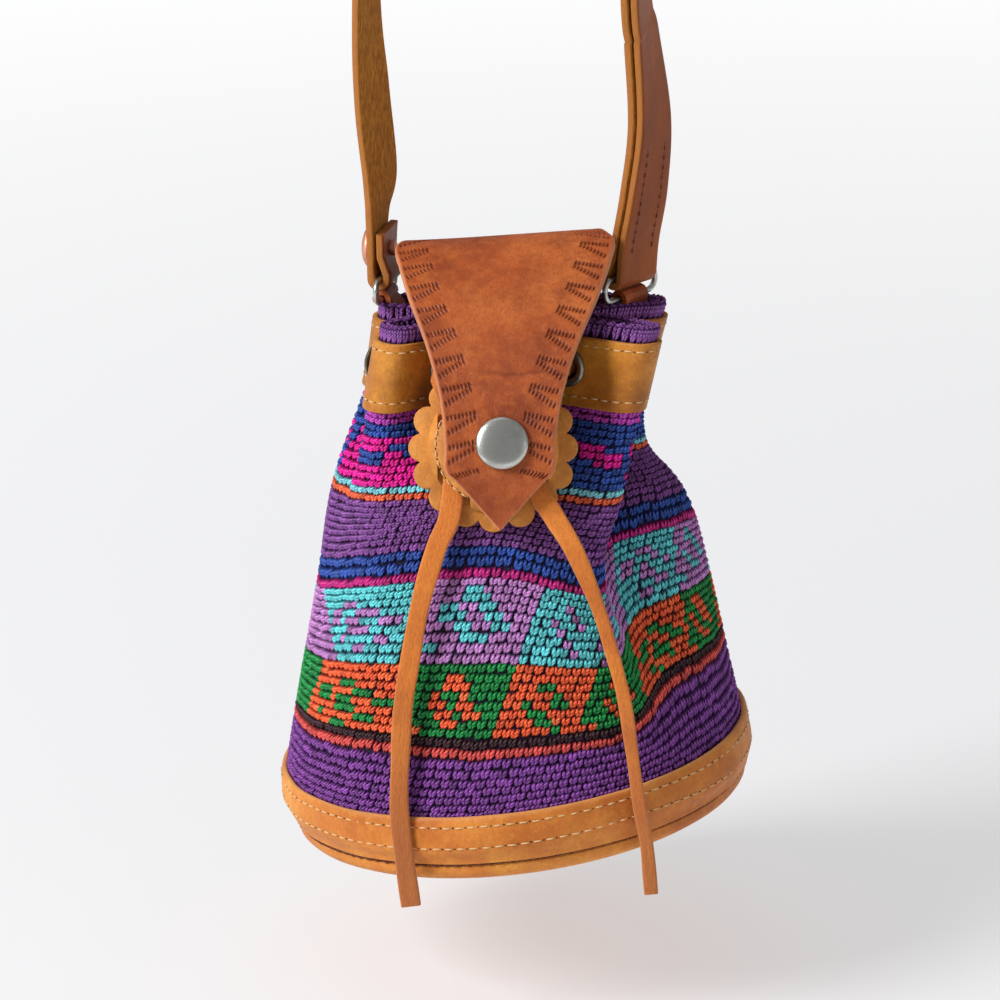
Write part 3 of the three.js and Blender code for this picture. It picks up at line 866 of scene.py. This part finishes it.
def addRosetteSewing():
    path = circle(rosette["sewRadius"], rosette["sewZ"], rosette["sewSteps"])
    outs = unit(circle(rosette["sewSlope"], 1, rosette["sewSteps"]))
    turn = np.array(rosetteFrame.to_3x3())
    row = sewRow(path @ turn.T + np.array(rosette["at"]), outs @ turn.T, *rosette["stitch"])
    sewPiece("rosette_sewing", [row], paleThread, "collar_leather")


addFlower()
addDisc()
addRosetteSewing()
print("rosette made")

# Strap: from the right tail under the ring, up and over, down to the left ring and its tail
strap = {
    "width": 18, "thick": 2.4, "corner": 0.7, "flats": 10, "limbSteps": 130, "turnSteps": 20,
    "archRadius": 27, "archRight": [0, 22.5, 45], "archTop": (52, 128, 12), "archLeft": [135, 157.5, 180],
    "tailStart": 6.2, "sewFrom": 169, "sewTo": 204, "sewInset": 4.2, "stitch": (3.0, 0.66, 0.3),
}
ringSize = {"wire": 0.9, "straight": 9.2, "end": 3.4, "segments": 56, "wireSegments": 16}
ringEnds = {
    "right": {"bar": np.array([39, 14.3, 161.7]), "yaw": 38, "hand": 1, "tailTop": 268},
    "left": {"bar": np.array([-34.4, 15.6, 161.7]), "yaw": 12, "hand": -1, "tailTop": 176},
}
# x, y, z and the degrees that the strap is turned, clockwise from above
strapRight = [
    (41.6, 12.2, 171.5, 38), (44, 8.8, 188, 37), (45.5, 6, 210, 30), (43, 4, 235.5, 20), (41, 2, 252, 14),
    (37, 0, 330, 6), (32.5, 0, 430, 2), (29, 0, 520, 0),
]
strapLeft = [
    (-29, 0, 520, 0), (-33, 0, 430, 2), (-38, 3, 330, 8), (-39.3, 7, 250.4, 19), (-38, 11, 217.7, 28),
    (-35.8, 15.2, 192, 27), (-36.6, 16, 180, 16), (-36.9, 16.2, 169.6, 12),
]


def acrossStrap(yaw):
    yaw = np.radians(yaw)
    return np.stack([np.sin(yaw), np.cos(yaw), 0 * yaw], -1)


def faceOut(end):
    yaw = math.radians(end["yaw"])
    return np.array([math.cos(yaw), -math.sin(yaw), 0]) * end["hand"]


def underBar(end):  # half turn under a ring bar, from the outer side to the inner side and just past it
    reach = ringSize["wire"] + gap + strap["thick"] / 2
    turn = np.linspace(0, math.pi, strap["turnSteps"])
    out = np.append(reach * np.cos(turn), -reach)[:, None]
    rise = np.append(-reach * np.sin(turn), ringSize["wire"] + gap)[:, None]
    at = end["bar"] + faceOut(end) * out + up * rise
    return np.column_stack([at, np.full(len(at), end["yaw"])])


def strapArch(degrees):
    angle = np.radians(degrees)
    radius = strap["archRadius"] + strap["thick"] / 2
    middle = hangHeight - strap["archRadius"]
    return np.stack([radius * np.cos(angle), 0 * angle, middle + radius * np.sin(angle), 0 * angle], -1)


def strapTail(limb, end):  # doubled back on the inner side of a limb, from the ring up
    kept = limb[(limb[:, 2] > end["bar"][2] + strap["tailStart"]) & (limb[:, 2] < end["tailTop"])]
    along = np.gradient(kept[:, :3], axis=0)
    face = unit(np.cross(acrossStrap(kept[:, 3]), unit(along)))
    inner = -np.sign(face @ faceOut(end))[:, None] * face
    return np.column_stack([kept[:, :3] + inner * (strap["thick"] + 2 * gap), kept[:, 3]])


def strapLimbs():
    right = np.vstack([underBar(ringEnds["right"])[:1], strapRight, strapArch(strap["archRight"])])
    left = np.vstack([strapArch(strap["archLeft"]), strapLeft, underBar(ringEnds["left"])[:1]])
    return smoothRows(right, strap["limbSteps"]), smoothRows(left, strap["limbSteps"])


rightLimb, leftLimb = strapLimbs()


def addStrap():
    right, left = ringEnds["right"], ringEnds["left"]
    whole = np.vstack([
        strapTail(rightLimb, right)[::-1],
        underBar(right)[::-1],
        rightLimb[1:],
        strapArch(np.linspace(*strap["archTop"])),
        leftLimb[:-1],
        underBar(left),
        strapTail(leftLimb, left)[::-1],
    ])
    across = acrossStrap(whole[:, 3])
    piece = ribbonPiece("strap_band", whole[:, :3], across, stripSection(strap), strapHide)
    settle(piece, "strap_leather", "strap")


def addStrapSewing():
    kept = rightLimb[(rightLimb[:, 2] > strap["sewFrom"]) & (rightLimb[:, 2] < strap["sewTo"])]
    half, face = ribbonFrame(kept[:, :3], acrossStrap(kept[:, 3]))
    rows = []
    for side in (-1, 1):
        aside = half * side * (strap["width"] / 2 - strap["sewInset"])
        rows.append(sewRow(kept[:, :3] + aside - face * strap["thick"] / 2, -face, *strap["stitch"]))
    sewPiece("strap_sewing", rows, brownThread, "strap_leather")


rivet = {
    "segments": 40,
    "profile": [
        (0.3, -4.3), (2.1, -4.3), (2.4, -4), (2.4, -3.3), (1.7, -3.3), (1.7, 3), (6.1, 3), (6.4, 3.3),
        (6.3, 3.8), (5.8, 4.4), (4.8, 5), (3.2, 5.5), (1.6, 5.8), (0.3, 5.85),
    ],
}


def addRivet():
    end = ringEnds["left"]
    at = np.array(strapLeft[-1][:3]) - faceOut(end) * (strap["thick"] / 2 + gap)
    piece = turnedPiece("rivet_cap", rivet, copper)
    settle(pointAlong(piece, at, faceOut(end)), "copper_rivet", "strap_rivet")


def addRing(side):
    end = ringEnds[side]
    piece = begin(
        bpy.ops.mesh.primitive_torus_add,
        major_radius=ringSize["end"] * mm,
        minor_radius=ringSize["wire"] * mm,
        major_segments=ringSize["segments"],
        minor_segments=ringSize["wireSegments"],
    )
    piece.name = f"ring_{side}_wire"
    for vertex in piece.data.vertices:
        vertex.co.x += math.copysign(ringSize["straight"] * mm, vertex.co.x)
    piece.data.materials.append(nickel)
    long = Vector(acrossStrap(float(end["yaw"])))
    upright = Matrix((long, Vector((0, 0, 1)), long.cross(Vector((0, 0, 1))))).transposed().to_4x4()
    centre = end["bar"] - up * ringSize["end"]
    piece.data.transform(Matrix.Translation(Vector(toFrame(centre))) @ upright)
    tidyNormals(piece, 60)
    settle(piece, "nickel", f"ring_{side}")


addStrap()
addStrapSewing()
addRivet()
for ringSide in ringEnds:
    addRing(ringSide)
    recolour(f"tab_{ringSide}", hides["flapLeather"])
print("strap, rings and rivet made")


# Drawstring round the neck, in and out of the eyelets
drawstring = {
    "depths": [
        [-0.3, -2.5, -6.6], [-5, 0, 6.2], [6.2, 0, -6.4], [-6.4, 0, 7.1],
        [7.1, 0, -6.4], [-6.4, 0, 6.2], [6.2, 0, -6.2], [-7, -2.5, -0.3],
    ],
    "steps": 240,
}


def addDrawstring():
    rows = []
    for index, depths in enumerate(drawstring["depths"]):
        rows += throughEyelet(index, depths)
    at = smoothRows(rows, drawstring["steps"])[:, :3]
    piece = ribbonPiece("drawstring_thong", at, np.tile(up, (len(at), 1)), stripSection(laces), thong)
    settle(piece, "lace_leather", "drawstring")


addDrawstring()

# Collar, base band and pan
collar = {
    "bottom": 4, "top": 5, "inner": 0.3, "outer": 1.9, "tall": 21.5, "corner": 0.5, "flats": 16,
    "slices": 288, "ripple": 0.12, "sewLevels": (4.13, 4.84), "stitch": (3.8, 0.66, 0.27),
}
band = {
    "bottom": 0, "top": 1, "inner": 0.3, "outer": 2.1, "tall": 16, "corner": 0.6, "flats": 12,
    "slices": 216, "ripple": 0.16, "sewLevels": (0.65, 0.925), "stitch": (3.8, 0.66, 0.27),
}
sleeve = {"rippleSize": 14, "rippleSeed": 3, "faceDepth": 0.1, "edgeSharp": 1.4, "sewSteps": 1200}


def sleevePiece(name, spec, material):  # a rounded strip round the wall, from one level to another
    section = roundedSection(spec["tall"], spec["outer"] - spec["inner"], spec["corner"], spec["flats"])
    rise = spec["top"] - spec["bottom"]
    middle = (spec["inner"] + spec["outer"]) / 2
    offsets = middle + section[:, 1]
    places = np.arange(spec["slices"])[:, None] * foldCount / spec["slices"]
    levels = (spec["bottom"] + spec["top"]) / 2 + section[:, 0] / spec["tall"] * rise + 0 * places
    rings = wallAt(levels, places) + wallOut(levels, places) * offsets[None, :, None]
    outward = wallOut(levels.mean(1, keepdims=True), places)
    onFace = (offsets > spec["outer"] - sleeve["faceDepth"])[None, :, None]
    uneven = ripple(rings, sleeve["rippleSize"], spec["ripple"], sleeve["rippleSeed"])
    rings = rings + outward * (uneven[..., None] * onFace)
    inside = 1 - np.abs(offsets - middle) / (spec["outer"] - middle)
    cut = np.clip(inside * sleeve["edgeSharp"], 0, 1)
    marks = {"edge": np.tile(cut, (spec["slices"], 1))}
    piece = gridPiece(name, rings, material, closed=True, marks=marks)
    tidyNormals(piece)
    return piece


def sleeveSewing(name, spec, slot):
    places = np.linspace(0, foldCount, sleeve["sewSteps"])
    rows = []
    for level in spec["sewLevels"]:
        levels = np.full(len(places), float(level))
        outs = wallOut(levels, places)
        path = wallAt(levels, places) + outs * spec["outer"]
        rows.append(sewRow(path, outs, *spec["stitch"]))
    sewPiece(name, rows, paleThread, slot)


def cutEyeletHoles(piece):
    for at, out in zip(eyeletAt, eyeletOut):
        cutter = begin(bpy.ops.mesh.primitive_cylinder_add, **eyelets["hole"])
        cutAway(piece, pointAlong(cutter, at, out))


collarPiece = sleevePiece("collar_leather_band", collar, hides["collarLeather"])
cutEyeletHoles(collarPiece)
settle(collarPiece, "collar_leather", "collar_band")
sleeveSewing("collar_sewing", collar, "collar_leather")
settle(sleevePiece("base_leather_band", band, hides["baseLeather"]), "base_leather", "base_band")
sleeveSewing("base_sewing", band, "base_leather")

pan = {
    "segments": 120, "sewRadius": 69.5, "sewZ": 5.75, "sewSteps": 900, "stitch": (3.4, 0.62, 0.3),
    "profile": [
        (0.5, 0), (62.4, 0), (66.2, 0.3), (67.8, 1.2), (68.8, 2.4), (69.1, 3.6), (69.1, 4.9),
        (68.7, 5.4), (66.4, 5.6), (66.4, 6.4), (66, 6.6), (64.6, 6.6), (64.2, 4), (62.4, 2.2), (0.5, 2.2),
    ],
}


def addPan():
    piece = turnedPiece("base_leather_pan", pan, hides["baseLeather"])
    corners = np.array([vertex.co for vertex in piece.data.vertices]) / mm
    for vertex, place in zip(piece.data.vertices, toFrame(tiltedBase(corners))):
        vertex.co = place
    settle(piece, "base_leather", "base_pan")


def addSeam():  # dark stitches in the seam between band and pan
    path = tiltedBase(circle(pan["sewRadius"], pan["sewZ"], pan["sewSteps"]))
    row = sewRow(path, circle(1, 0, pan["sewSteps"]), *pan["stitch"])
    sewPiece("seam_sewing", [row], brownThread, "base_leather")


addPan()
addSeam()
print("collar, base and drawstring made")

# Flap: tooled leather from the tip at the front, over the mouth, to the back of the collar
flap = {
    "thick": 2.6, "steps": 700, "fineTo": 112, "fineStep": 0.42, "coarseStep": 1.5, "fineWidth": 12,
    "fineShare": 0.38, "fineColumns": 46, "middleColumns": 12, "bottomColumns": 16, "roundOff": 0.9,
    "paleEdge": 0.8, "stampDark": 0.75, "creaseShade": 0.5, "tipDark": 0.16, "tipLength": 22, "tipFade": 8,
    "creaseZ": 144.3, "creaseDepth": 0.25, "creaseWidth": 0.45, "creaseInset": 12, "creaseFade": 8,
    "sewFrom": -19, "sewTo": 25, "sewHeights": (136.4, 141), "sewSteps": 120, "stitch": (3.4, 0.66, 0.3),
}
# x, y, z, width and how far the right side is raised
flapRows = [
    (0, -50.5, 101.5, 1, 0), (0, -47.5, 114, 24, 0), (0, -46.3, 118, 32, 0), (0, -44, 125.5, 32.4, 0),
    (0.2, -39, 137.8, 35.6, 0), (0.4, -31, 151.2, 44, 0.02), (0.8, -18, 163.2, 56, 0.04),
    (1.3, -6, 170.6, 63, 0.06), (1.6, 3, 173.6, 65, 0.07), (2.5, 11, 173.2, 56, 0.07),
    (3, 21, 169, 50, 0.05), (3, 29.8, 160.5, 48, 0.03), (3, 34.6, 148, 48, 0), (3, 34.8, 134, 48, 0),
]
tooling = {
    "first": 16.9, "period": 8.3, "count": 12, "notches": 8, "reach": 10.2, "inset": 1.1, "turned": 0.6,
    "upper": (0.3, -1.7), "lower": (-0.9, -6.0), "halfLength": 0.74, "halfWidth": 0.36, "depth": 0.45,
    "soft": 0.5, "leastWidth": 22.44,
}


def toolMarks(lengths, fromEdge):
    # how deep the tooling went at each length from the tip and distance from the nearer edge
    marks = np.zeros(fromEdge.shape)
    run = tooling["reach"] - tooling["inset"]
    for k in range(tooling["count"]):
        apex = tooling["first"] + k * tooling["period"]
        pair = [tooling["upper"], tooling["lower"]] if k else [tooling["upper"]]  # one row alone by the tip
        for inner, outer in pair:
            turn = math.atan2(inner - outer, run) * tooling["turned"]
            for n in range(tooling["notches"]):
                share = (n + 0.5) / tooling["notches"]
                down = lengths[:, None] - (apex + outer + (inner - outer) * share)
                aside = fromEdge - (tooling["inset"] + run * share)
                wide = aside * math.cos(turn) + down * math.sin(turn)
                tall = down * math.cos(turn) - aside * math.sin(turn)
                shape = np.maximum(np.abs(wide) / tooling["halfWidth"], np.abs(tall) / tooling["halfLength"])
                marks = np.maximum(marks, grown(-shape, -1 - tooling["soft"] / 2, tooling["soft"]))
    return marks


def addFlap():
    rough = smoothRows(flapRows, flap["steps"])
    total = pathLengths(rough[:, :3])
    front = np.arange(0, flap["fineTo"], flap["fineStep"])
    lengths = np.concatenate([front, np.arange(flap["fineTo"], total[-1], flap["coarseStep"]), [total[-1]]])
    rows = np.stack([np.interp(lengths, total, rough[:, k]) for k in range(5)], -1)
    at = rows[:, :3]
    across = unit(np.stack([np.ones(len(at)), np.zeros(len(at)), rows[:, 4]], -1))
    half, face = ribbonFrame(at, across)
    width = np.maximum(rows[:, 3:4], 1.0)
    fine = np.linspace(0, 1, flap["fineColumns"]) * np.minimum(flap["fineWidth"], width * flap["fineShare"])
    middle = np.linspace(0, 1, flap["middleColumns"] + 2)[1:-1]
    span = width - 2 * fine[:, -1:]
    top = np.concatenate([fine, fine[:, -1:] + span * middle, width - fine[:, ::-1]], 1)
    fromEdge = np.minimum(top, width - top)
    stamped = toolMarks(lengths, fromEdge) * (width > tooling["leastWidth"])
    creaseAt = np.interp(flap["creaseZ"], rows[:, 2][: len(front)], front)
    wander = 0.5 * np.sin(top * 0.35) + 0.2 * np.sin(top * 1.3)
    crease = np.exp(-(((lengths[:, None] - creaseAt + wander) / flap["creaseWidth"]) ** 2))
    crease *= grown(top, flap["creaseInset"], flap["creaseFade"])
    tip = flap["tipDark"] * grown(-lengths[:, None], -flap["tipLength"], flap["tipFade"])
    drop = np.clip(flap["roundOff"] - fromEdge, 0, None) ** 2 / (2 * flap["roundOff"])
    bottom = width * np.linspace(1, 0, flap["bottomColumns"])
    sideways = np.concatenate([top, bottom], 1) - width / 2
    height = np.concatenate([
        flap["thick"] / 2 - drop - stamped * tooling["depth"] - crease * flap["creaseDepth"],
        np.full(bottom.shape, -flap["thick"] / 2),
    ], 1)
    outward = face * np.sign(face[len(face) // 2, 2])
    rings = at[:, None] + half[:, None] * sideways[..., None] + outward[:, None] * height[..., None]
    edge = np.zeros(height.shape)
    edge[:, : top.shape[1]] = np.clip(1.1 - fromEdge / flap["paleEdge"], 0, 1)
    edge[:, [top.shape[1], -1]] = 1
    # the stamped notches and the tip are darkened; the crease is darkened as painted shade
    darkened = np.maximum(stamped * flap["stampDark"], np.maximum(crease * flap["creaseShade"], tip))
    stamp = np.concatenate([darkened, np.zeros(bottom.shape)], 1)
    marks = {"edge": edge, "stamp": stamp}
    piece = gridPiece("flap_leather_tooled", rings, hides["flapLeather"], marks=marks)
    tidyNormals(piece, 50)
    settle(piece, "flap_leather", "flap")


def addFlapSewing():  # two rows that hold the flap to the back of the collar
    sideways = np.linspace(flap["sewFrom"], flap["sewTo"], flap["sewSteps"])
    back = flapRows[-1][1] + flap["thick"] / 2
    outs = np.tile([0.0, 1.0, 0.0], (len(sideways), 1))
    rows = []
    for z in flap["sewHeights"]:
        path = np.stack([sideways, np.full(len(sideways), back), np.full(len(sideways), z)], -1)
        rows.append(sewRow(path, outs, *flap["stitch"]))
    sewPiece("flap_sewing", rows, paleThread, "flap_leather")


addFlap()
addFlapSewing()
print("flap made")

# Crocheted wall: a shell painted dark as the shade between the stitches, and every stitch as two legs of yarn
# over it
wall = {
    "bottom": 0.3, "top": 6, "inner": -2.6, "outer": -0.8, "tall": 150, "corner": 0.6, "flats": 70,
    "slices": 216, "ripple": 0.0,
}


def addWall():
    piece = sleevePiece("crochet_shell", wall, crochetBackShade)
    cutEyeletHoles(piece)
    settle(piece, "crochet", "woven_body")


addWall()

yarnColours = {
    "violet": "824298", "purple": "844c96", "coral": "d85048", "black": "34141c", "orange": "ff6634",
    "green": "0f9040", "turquoise": "62d6d6", "lilac": "c286c6", "magenta": "c4207e", "blue": "2a50a4",
    "salmon": "f5683c", "aqua": "7fd4da", "pink": "f0149c", "orchid": "c046b8",
}
# rows, colour, second colour, and the charts of its blocks
bands = [
    (8, "violet", None, None),
    (1, "coral", None, None),
    (1, "black", None, None),
    (8, "orange", "green", "low"),
    (9, "turquoise", "lilac", "high"),
    (1, "magenta", None, None),
    (2, "blue", None, None),
    (9, "purple", None, None),
    (1, "salmon", None, None),
    (1, "aqua", None, None),
    (7, "pink", "blue", "small"),
    (2, "blue", None, None),
    (2, "orchid", None, None),
]
charts = {
    "diamond": [
        "............",
        "............",
        ".....##.....",
        "..##...##...",
        "..##.##..##.",
        ".....###....",
        "...#....##..",
        ".....##.....",
        "............",
    ],
    "strokes": [
        "............",
        "...##.......",
        "...###......",
        "..#..##.....",
        "..##..##....",
        "...##..##...",
        "....###.....",
        "##..........",
        "............",
    ],
    "steps": [
        "............",
        "............",
        "....##......",
        "......##....",
        "..##...##...",
        "....##......",
        ".....##.....",
        ".......##...",
        "............",
    ],
    "small": [
        "............",
        "...##..##...",
        "....###.##..",
        ".....##..##.",
        "............",
        ".........##.",
        "............",
    ],
    "plain": ["............"] * 9,
}
# charts of neighbouring blocks, the row they are measured on, where the blocks begin round the bag in folds,
# and how far the first few edges move in one row
largeCharts = ["diamond", "strokes", "steps", "strokes"] * 3 + ["diamond", "plain"]
laterEdges = [18.03, 19.6, 21.8, 24, 25.5, 26.44, 27.16, 27.72, 28.3, 28.9, 29.69, 30.3]
figures = {
    "low": {"charts": largeCharts, "row": 13, "edges": [14.5, 16.55] + laterEdges, "slants": [0, -0.017]},
    "high": {"charts": largeCharts, "row": 13, "edges": [16, 16.43] + laterEdges, "slants": [-0.25, -0.017]},
    "small": {"charts": ["small"], "row": 44, "edges": [13.1, 18, 22, 25, 27.5, 29.5], "slants": []},
}
crochet = {
    "firstRow": -1,
    "pitch": 2.8,
    "lean": 0.34,  # stitches that a column moves to the right in one row
    "rowKnots": [-6, 0, 8.5, 17, 26, 38, 50.5, 58.5, 60.5],
    "levelKnots": [0.7, 1, 1.344, 1.625, 1.987, 3, 4, 5, 6],
    "raised": 2.2,  # rows that the lower bands sit higher on the right of the bag
    "raisedAt": ([2.2, 4.5, 9, 12, 16, 17.5], [0, 1, 1, 0.45, 0.45, 0]),  # places, and the share there
    "raisedRows": ([-2, 8, 26], [0, 1, 0]),
    "rowSteps": 720,
    # aside, above and sunk, at the foot, middle and top of a leg
    "leg": [(0.06, -0.52, 1.3), (0.21, 0.02, 0.05), (0.33, 0.56, 1.04)],
    "fat": 0.27, "astray": 0.07, "unevenFat": 0.06, "unevenShade": 0.16,
    "pieces": {"foot": (0, 13), "lower": (13, 27), "middle": (27, 40), "upper": (40, 52)},
}


def rowLevel(rows, places):
    beside = np.interp(places % foldCount, *crochet["raisedAt"])
    raised = crochet["raised"] * beside * np.interp(rows, *crochet["raisedRows"])
    return np.interp(rows + raised, crochet["rowKnots"], crochet["levelKnots"])


def rowPath(row):  # places round a row from the back, and lengths along it from the middle of the front
    places = np.linspace(-foldCount / 2, foldCount / 2, crochet["rowSteps"] + 1)
    lengths = pathLengths(wallAt(rowLevel(row, places), places))
    return places, lengths - lengths[crochet["rowSteps"] // 2]


def blockEdges(figure, row):  # on this row, and the first one again where it comes round
    edges = np.array(figure["edges"], float)
    for block, slant in enumerate(figure["slants"]):
        edges[block] += slant * (row - figure["row"])
    return np.append(edges, edges[0] + foldCount)


def stitchColours(places, row, rowInBand, rows, first, second, figure):
    if second is None:
        return [first] * len(places)
    edges = blockEdges(figures[figure], row)
    names = []
    for value in np.interp((places - edges[0]) % foldCount + edges[0], edges, np.arange(len(edges))):
        block = min(int(value), len(edges) - 2)
        main, other = (first, second) if block % 2 == 0 else (second, first)
        chart = charts[figures[figure]["charts"][block % len(figures[figure]["charts"])]]
        column = min(int((value - block) * len(chart[0])), len(chart[0]) - 1)
        inked = chart[rows - 1 - rowInBand][column] == "#"
        names.append(other if inked else main)
    return names


def yarnTints(names, uneven):
    shades = random.normal(1, uneven, (len(names), 1))
    tints = np.array([colour(yarnColours[name])[:3] for name in names]) * shades
    return np.column_stack([np.clip(tints, 0, 1), np.ones(len(names))])


def crochetRow(row, rowInBand, band):
    places, lengths = rowPath(row)
    total = lengths[-1] - lengths[0]
    count = round(total / crochet["pitch"])
    numbers = np.arange(count) - count // 2 + (crochet["lean"] * row) % 1
    jitter = random.normal(0, crochet["astray"], (2, count))

    def placeOf(number):
        return np.interp(lengths[0] + (number * total / count - lengths[0]) % total, lengths, places)

    legs = []
    for hand in (-1, 1):
        spots = []
        outs = []
        for aside, above, sunk in crochet["leg"]:
            place = placeOf(numbers + aside * hand + crochet["lean"] * above + jitter[0])
            level = rowLevel(row + above + jitter[1], place)
            outs.append(wallNormal(level, place))
            spots.append(wallAt(level, place) - outs[-1] * sunk)
        radius = total / count * crochet["fat"] * random.normal(1, crochet["unevenFat"], count)
        legs.append((*spots, outs[1], radius))
    measured = figures[band[3]]["row"] if band[3] else row
    names = stitchColours(placeOf(numbers - crochet["lean"] * (row - measured)), row, rowInBand, *band)
    tints = yarnTints(names, crochet["unevenShade"])
    return [np.concatenate(pair) for pair in zip(*legs)] + [np.concatenate([tints, tints])]


def addCrochet():
    row = crochet["firstRow"]
    made = []
    for band in bands:
        for rowInBand in range(band[0]):
            made.append(crochetRow(row, rowInBand, band))
            row += 1
    for name, (begin, end) in crochet["pieces"].items():
        parts = [np.concatenate([made[n][k] for n in range(begin, end)]) for k in range(6)]
        piece = strandPiece(f"crochet_{name}", *parts[:5], yarn, parts[5])
        settle(piece, "crochet")
        print("crochet", name, len(parts[0]), "legs")


rim = {
    "around": 120,
    # outside or inside the wall, the levels from and to, and how far off the wall's face
    "rows": [
        (1, 4.9, 5.55, 0.0), (1, 5.35, 6.05, 0.0),
        (-1, 5.5, 6.05, -2.6), (-1, 4.8, 5.5, -2.6), (-1, 4.1, 4.8, -2.6),
    ],
    # aside, share of the row's height and sunk, at the foot, middle and top of a leg
    "leg": [(0.06, 0, 0.7), (0.2, 0.5, 0.0), (0.33, 1, 0.6)],
    # along, where its way out is taken, aside and above, at three spots of a chain stitch
    "chain": [(0, 0, 0.3, -0.2), (0.55, 0, 0.85, 0.45), (1.1, 1.1, 0.5, -0.1)],
    "chainLevel": 6.0, "chainInset": -1.3, "rowFat": 0.68, "chainFat": 0.72, "unevenShade": 0.09,
}


def addRim():  # rows above the collar, a chain along the edge and rows inside the mouth
    stitches = np.arange(rim["around"])
    apart = foldCount / rim["around"]
    parts = []
    for inside, low, high, offset in rim["rows"]:
        for hand in (-1, 1):
            spots = []
            outs = []
            for aside, share, sunk in rim["leg"]:
                place = (stitches + 0.5 + aside * hand) * apart
                level = low + (high - low) * share
                outs.append(wallOut(level, place) * inside)
                spots.append(wallAt(level, place) + wallOut(level, place) * offset - outs[-1] * sunk)
            parts.append((*spots, outs[1], np.full(rim["around"], rim["rowFat"])))
    level = rim["chainLevel"]
    for hand in (-1, 1):
        spots = []
        for along, face, aside, above in rim["chain"]:
            out = wallOut(level, (stitches + face) * apart)
            at = wallAt(level, (stitches + along) * apart)
            spots.append(at + out * (rim["chainInset"] + hand * aside) + up * above)
        parts.append((*spots, np.tile(up, (rim["around"], 1)), np.full(rim["around"], rim["chainFat"])))
    joined = [np.concatenate(part) for part in zip(*parts)]
    tints = yarnTints(["purple"] * len(joined[0]), rim["unevenShade"])
    settle(strandPiece("crochet_rim", *joined, yarn, tints), "crochet")


addCrochet()
addRim()
print("crochet made")

# Pale floor and soft light
stage = {
    "floorZ": -0.656, "size": 14, "dark": "adaeb0", "light": "b0b1b2", "near": 0.66, "far": 1.75,
    "glow": 0.78, "nearGlow": (0.62, 0.62, 0.63, 1), "farGlow": (1, 1, 1, 1), "skyLight": 0.3, "skySeen": 0.6,
}


def paleFloor(wire, place):  # it glows a little more away from the bag, like a lit studio sweep
    tint = blendColours(wire, noise(wire, place, 3.0), colour(stage["dark"]), colour(stage["light"]))
    away = wire.make("ShaderNodeVectorMath", {"operation": "LENGTH"}, {0: place}, 1)
    away = spread(wire, away, stage["near"], stage["far"])
    glow = blendColours(wire, away, stage["nearGlow"], stage["farGlow"])
    lit = {"Emission Color": glow, "Emission Strength": stage["glow"]}
    return {"Base Color": tint, "Roughness": 0.8, **lit}


def addStage():
    floor = begin(bpy.ops.mesh.primitive_plane_add, size=stage["size"], location=(0, 0, stage["floorZ"]))
    bpy.ops.object.transform_apply(location=True, rotation=True, scale=True)
    floor.name = "floor"
    floor.data.materials.append(makeMaterial("paleFloor", paleFloor))


lampTarget = (0, 0, -0.5)
lamps = {
    "key": {"at": (-1.5, -0.85, 0.7), "size": 0.8, "power": 42},
    "fill": {"at": (1.6, -1.3, 0.1), "size": 1.4, "power": 2},
    "top": {"at": (-0.4, 0.2, 1.3), "size": 1.4, "power": 3},
}


def addLights():
    for name, lamp in lamps.items():
        turn = facing(lamp["at"], lampTarget)
        light = begin(bpy.ops.object.light_add, type="AREA", location=lamp["at"], rotation=turn)
        light.name = f"{name}_light"
        light.data.size = lamp["size"]
        light.data.energy = lamp["power"]
    world = bpy.data.worlds.new("studio")
    bpy.context.scene.world = world
    world.use_nodes = True
    world.node_tree.nodes.clear()
    wire = Wire(world.node_tree)
    seen = wire.make("ShaderNodeLightPath")  # the sky looks pale, and lights softly
    strength = stage["skyLight"] + seen * stage["skySeen"]
    sky = wire.make("ShaderNodeBackground", {}, {"Color": (1, 1, 1, 1), "Strength": strength})
    wire.make("ShaderNodeOutputWorld", {}, {"Surface": sky})
    bpy.context.scene.view_settings.view_transform = "Standard"


addStage()
addLights()
print("stage and light set")
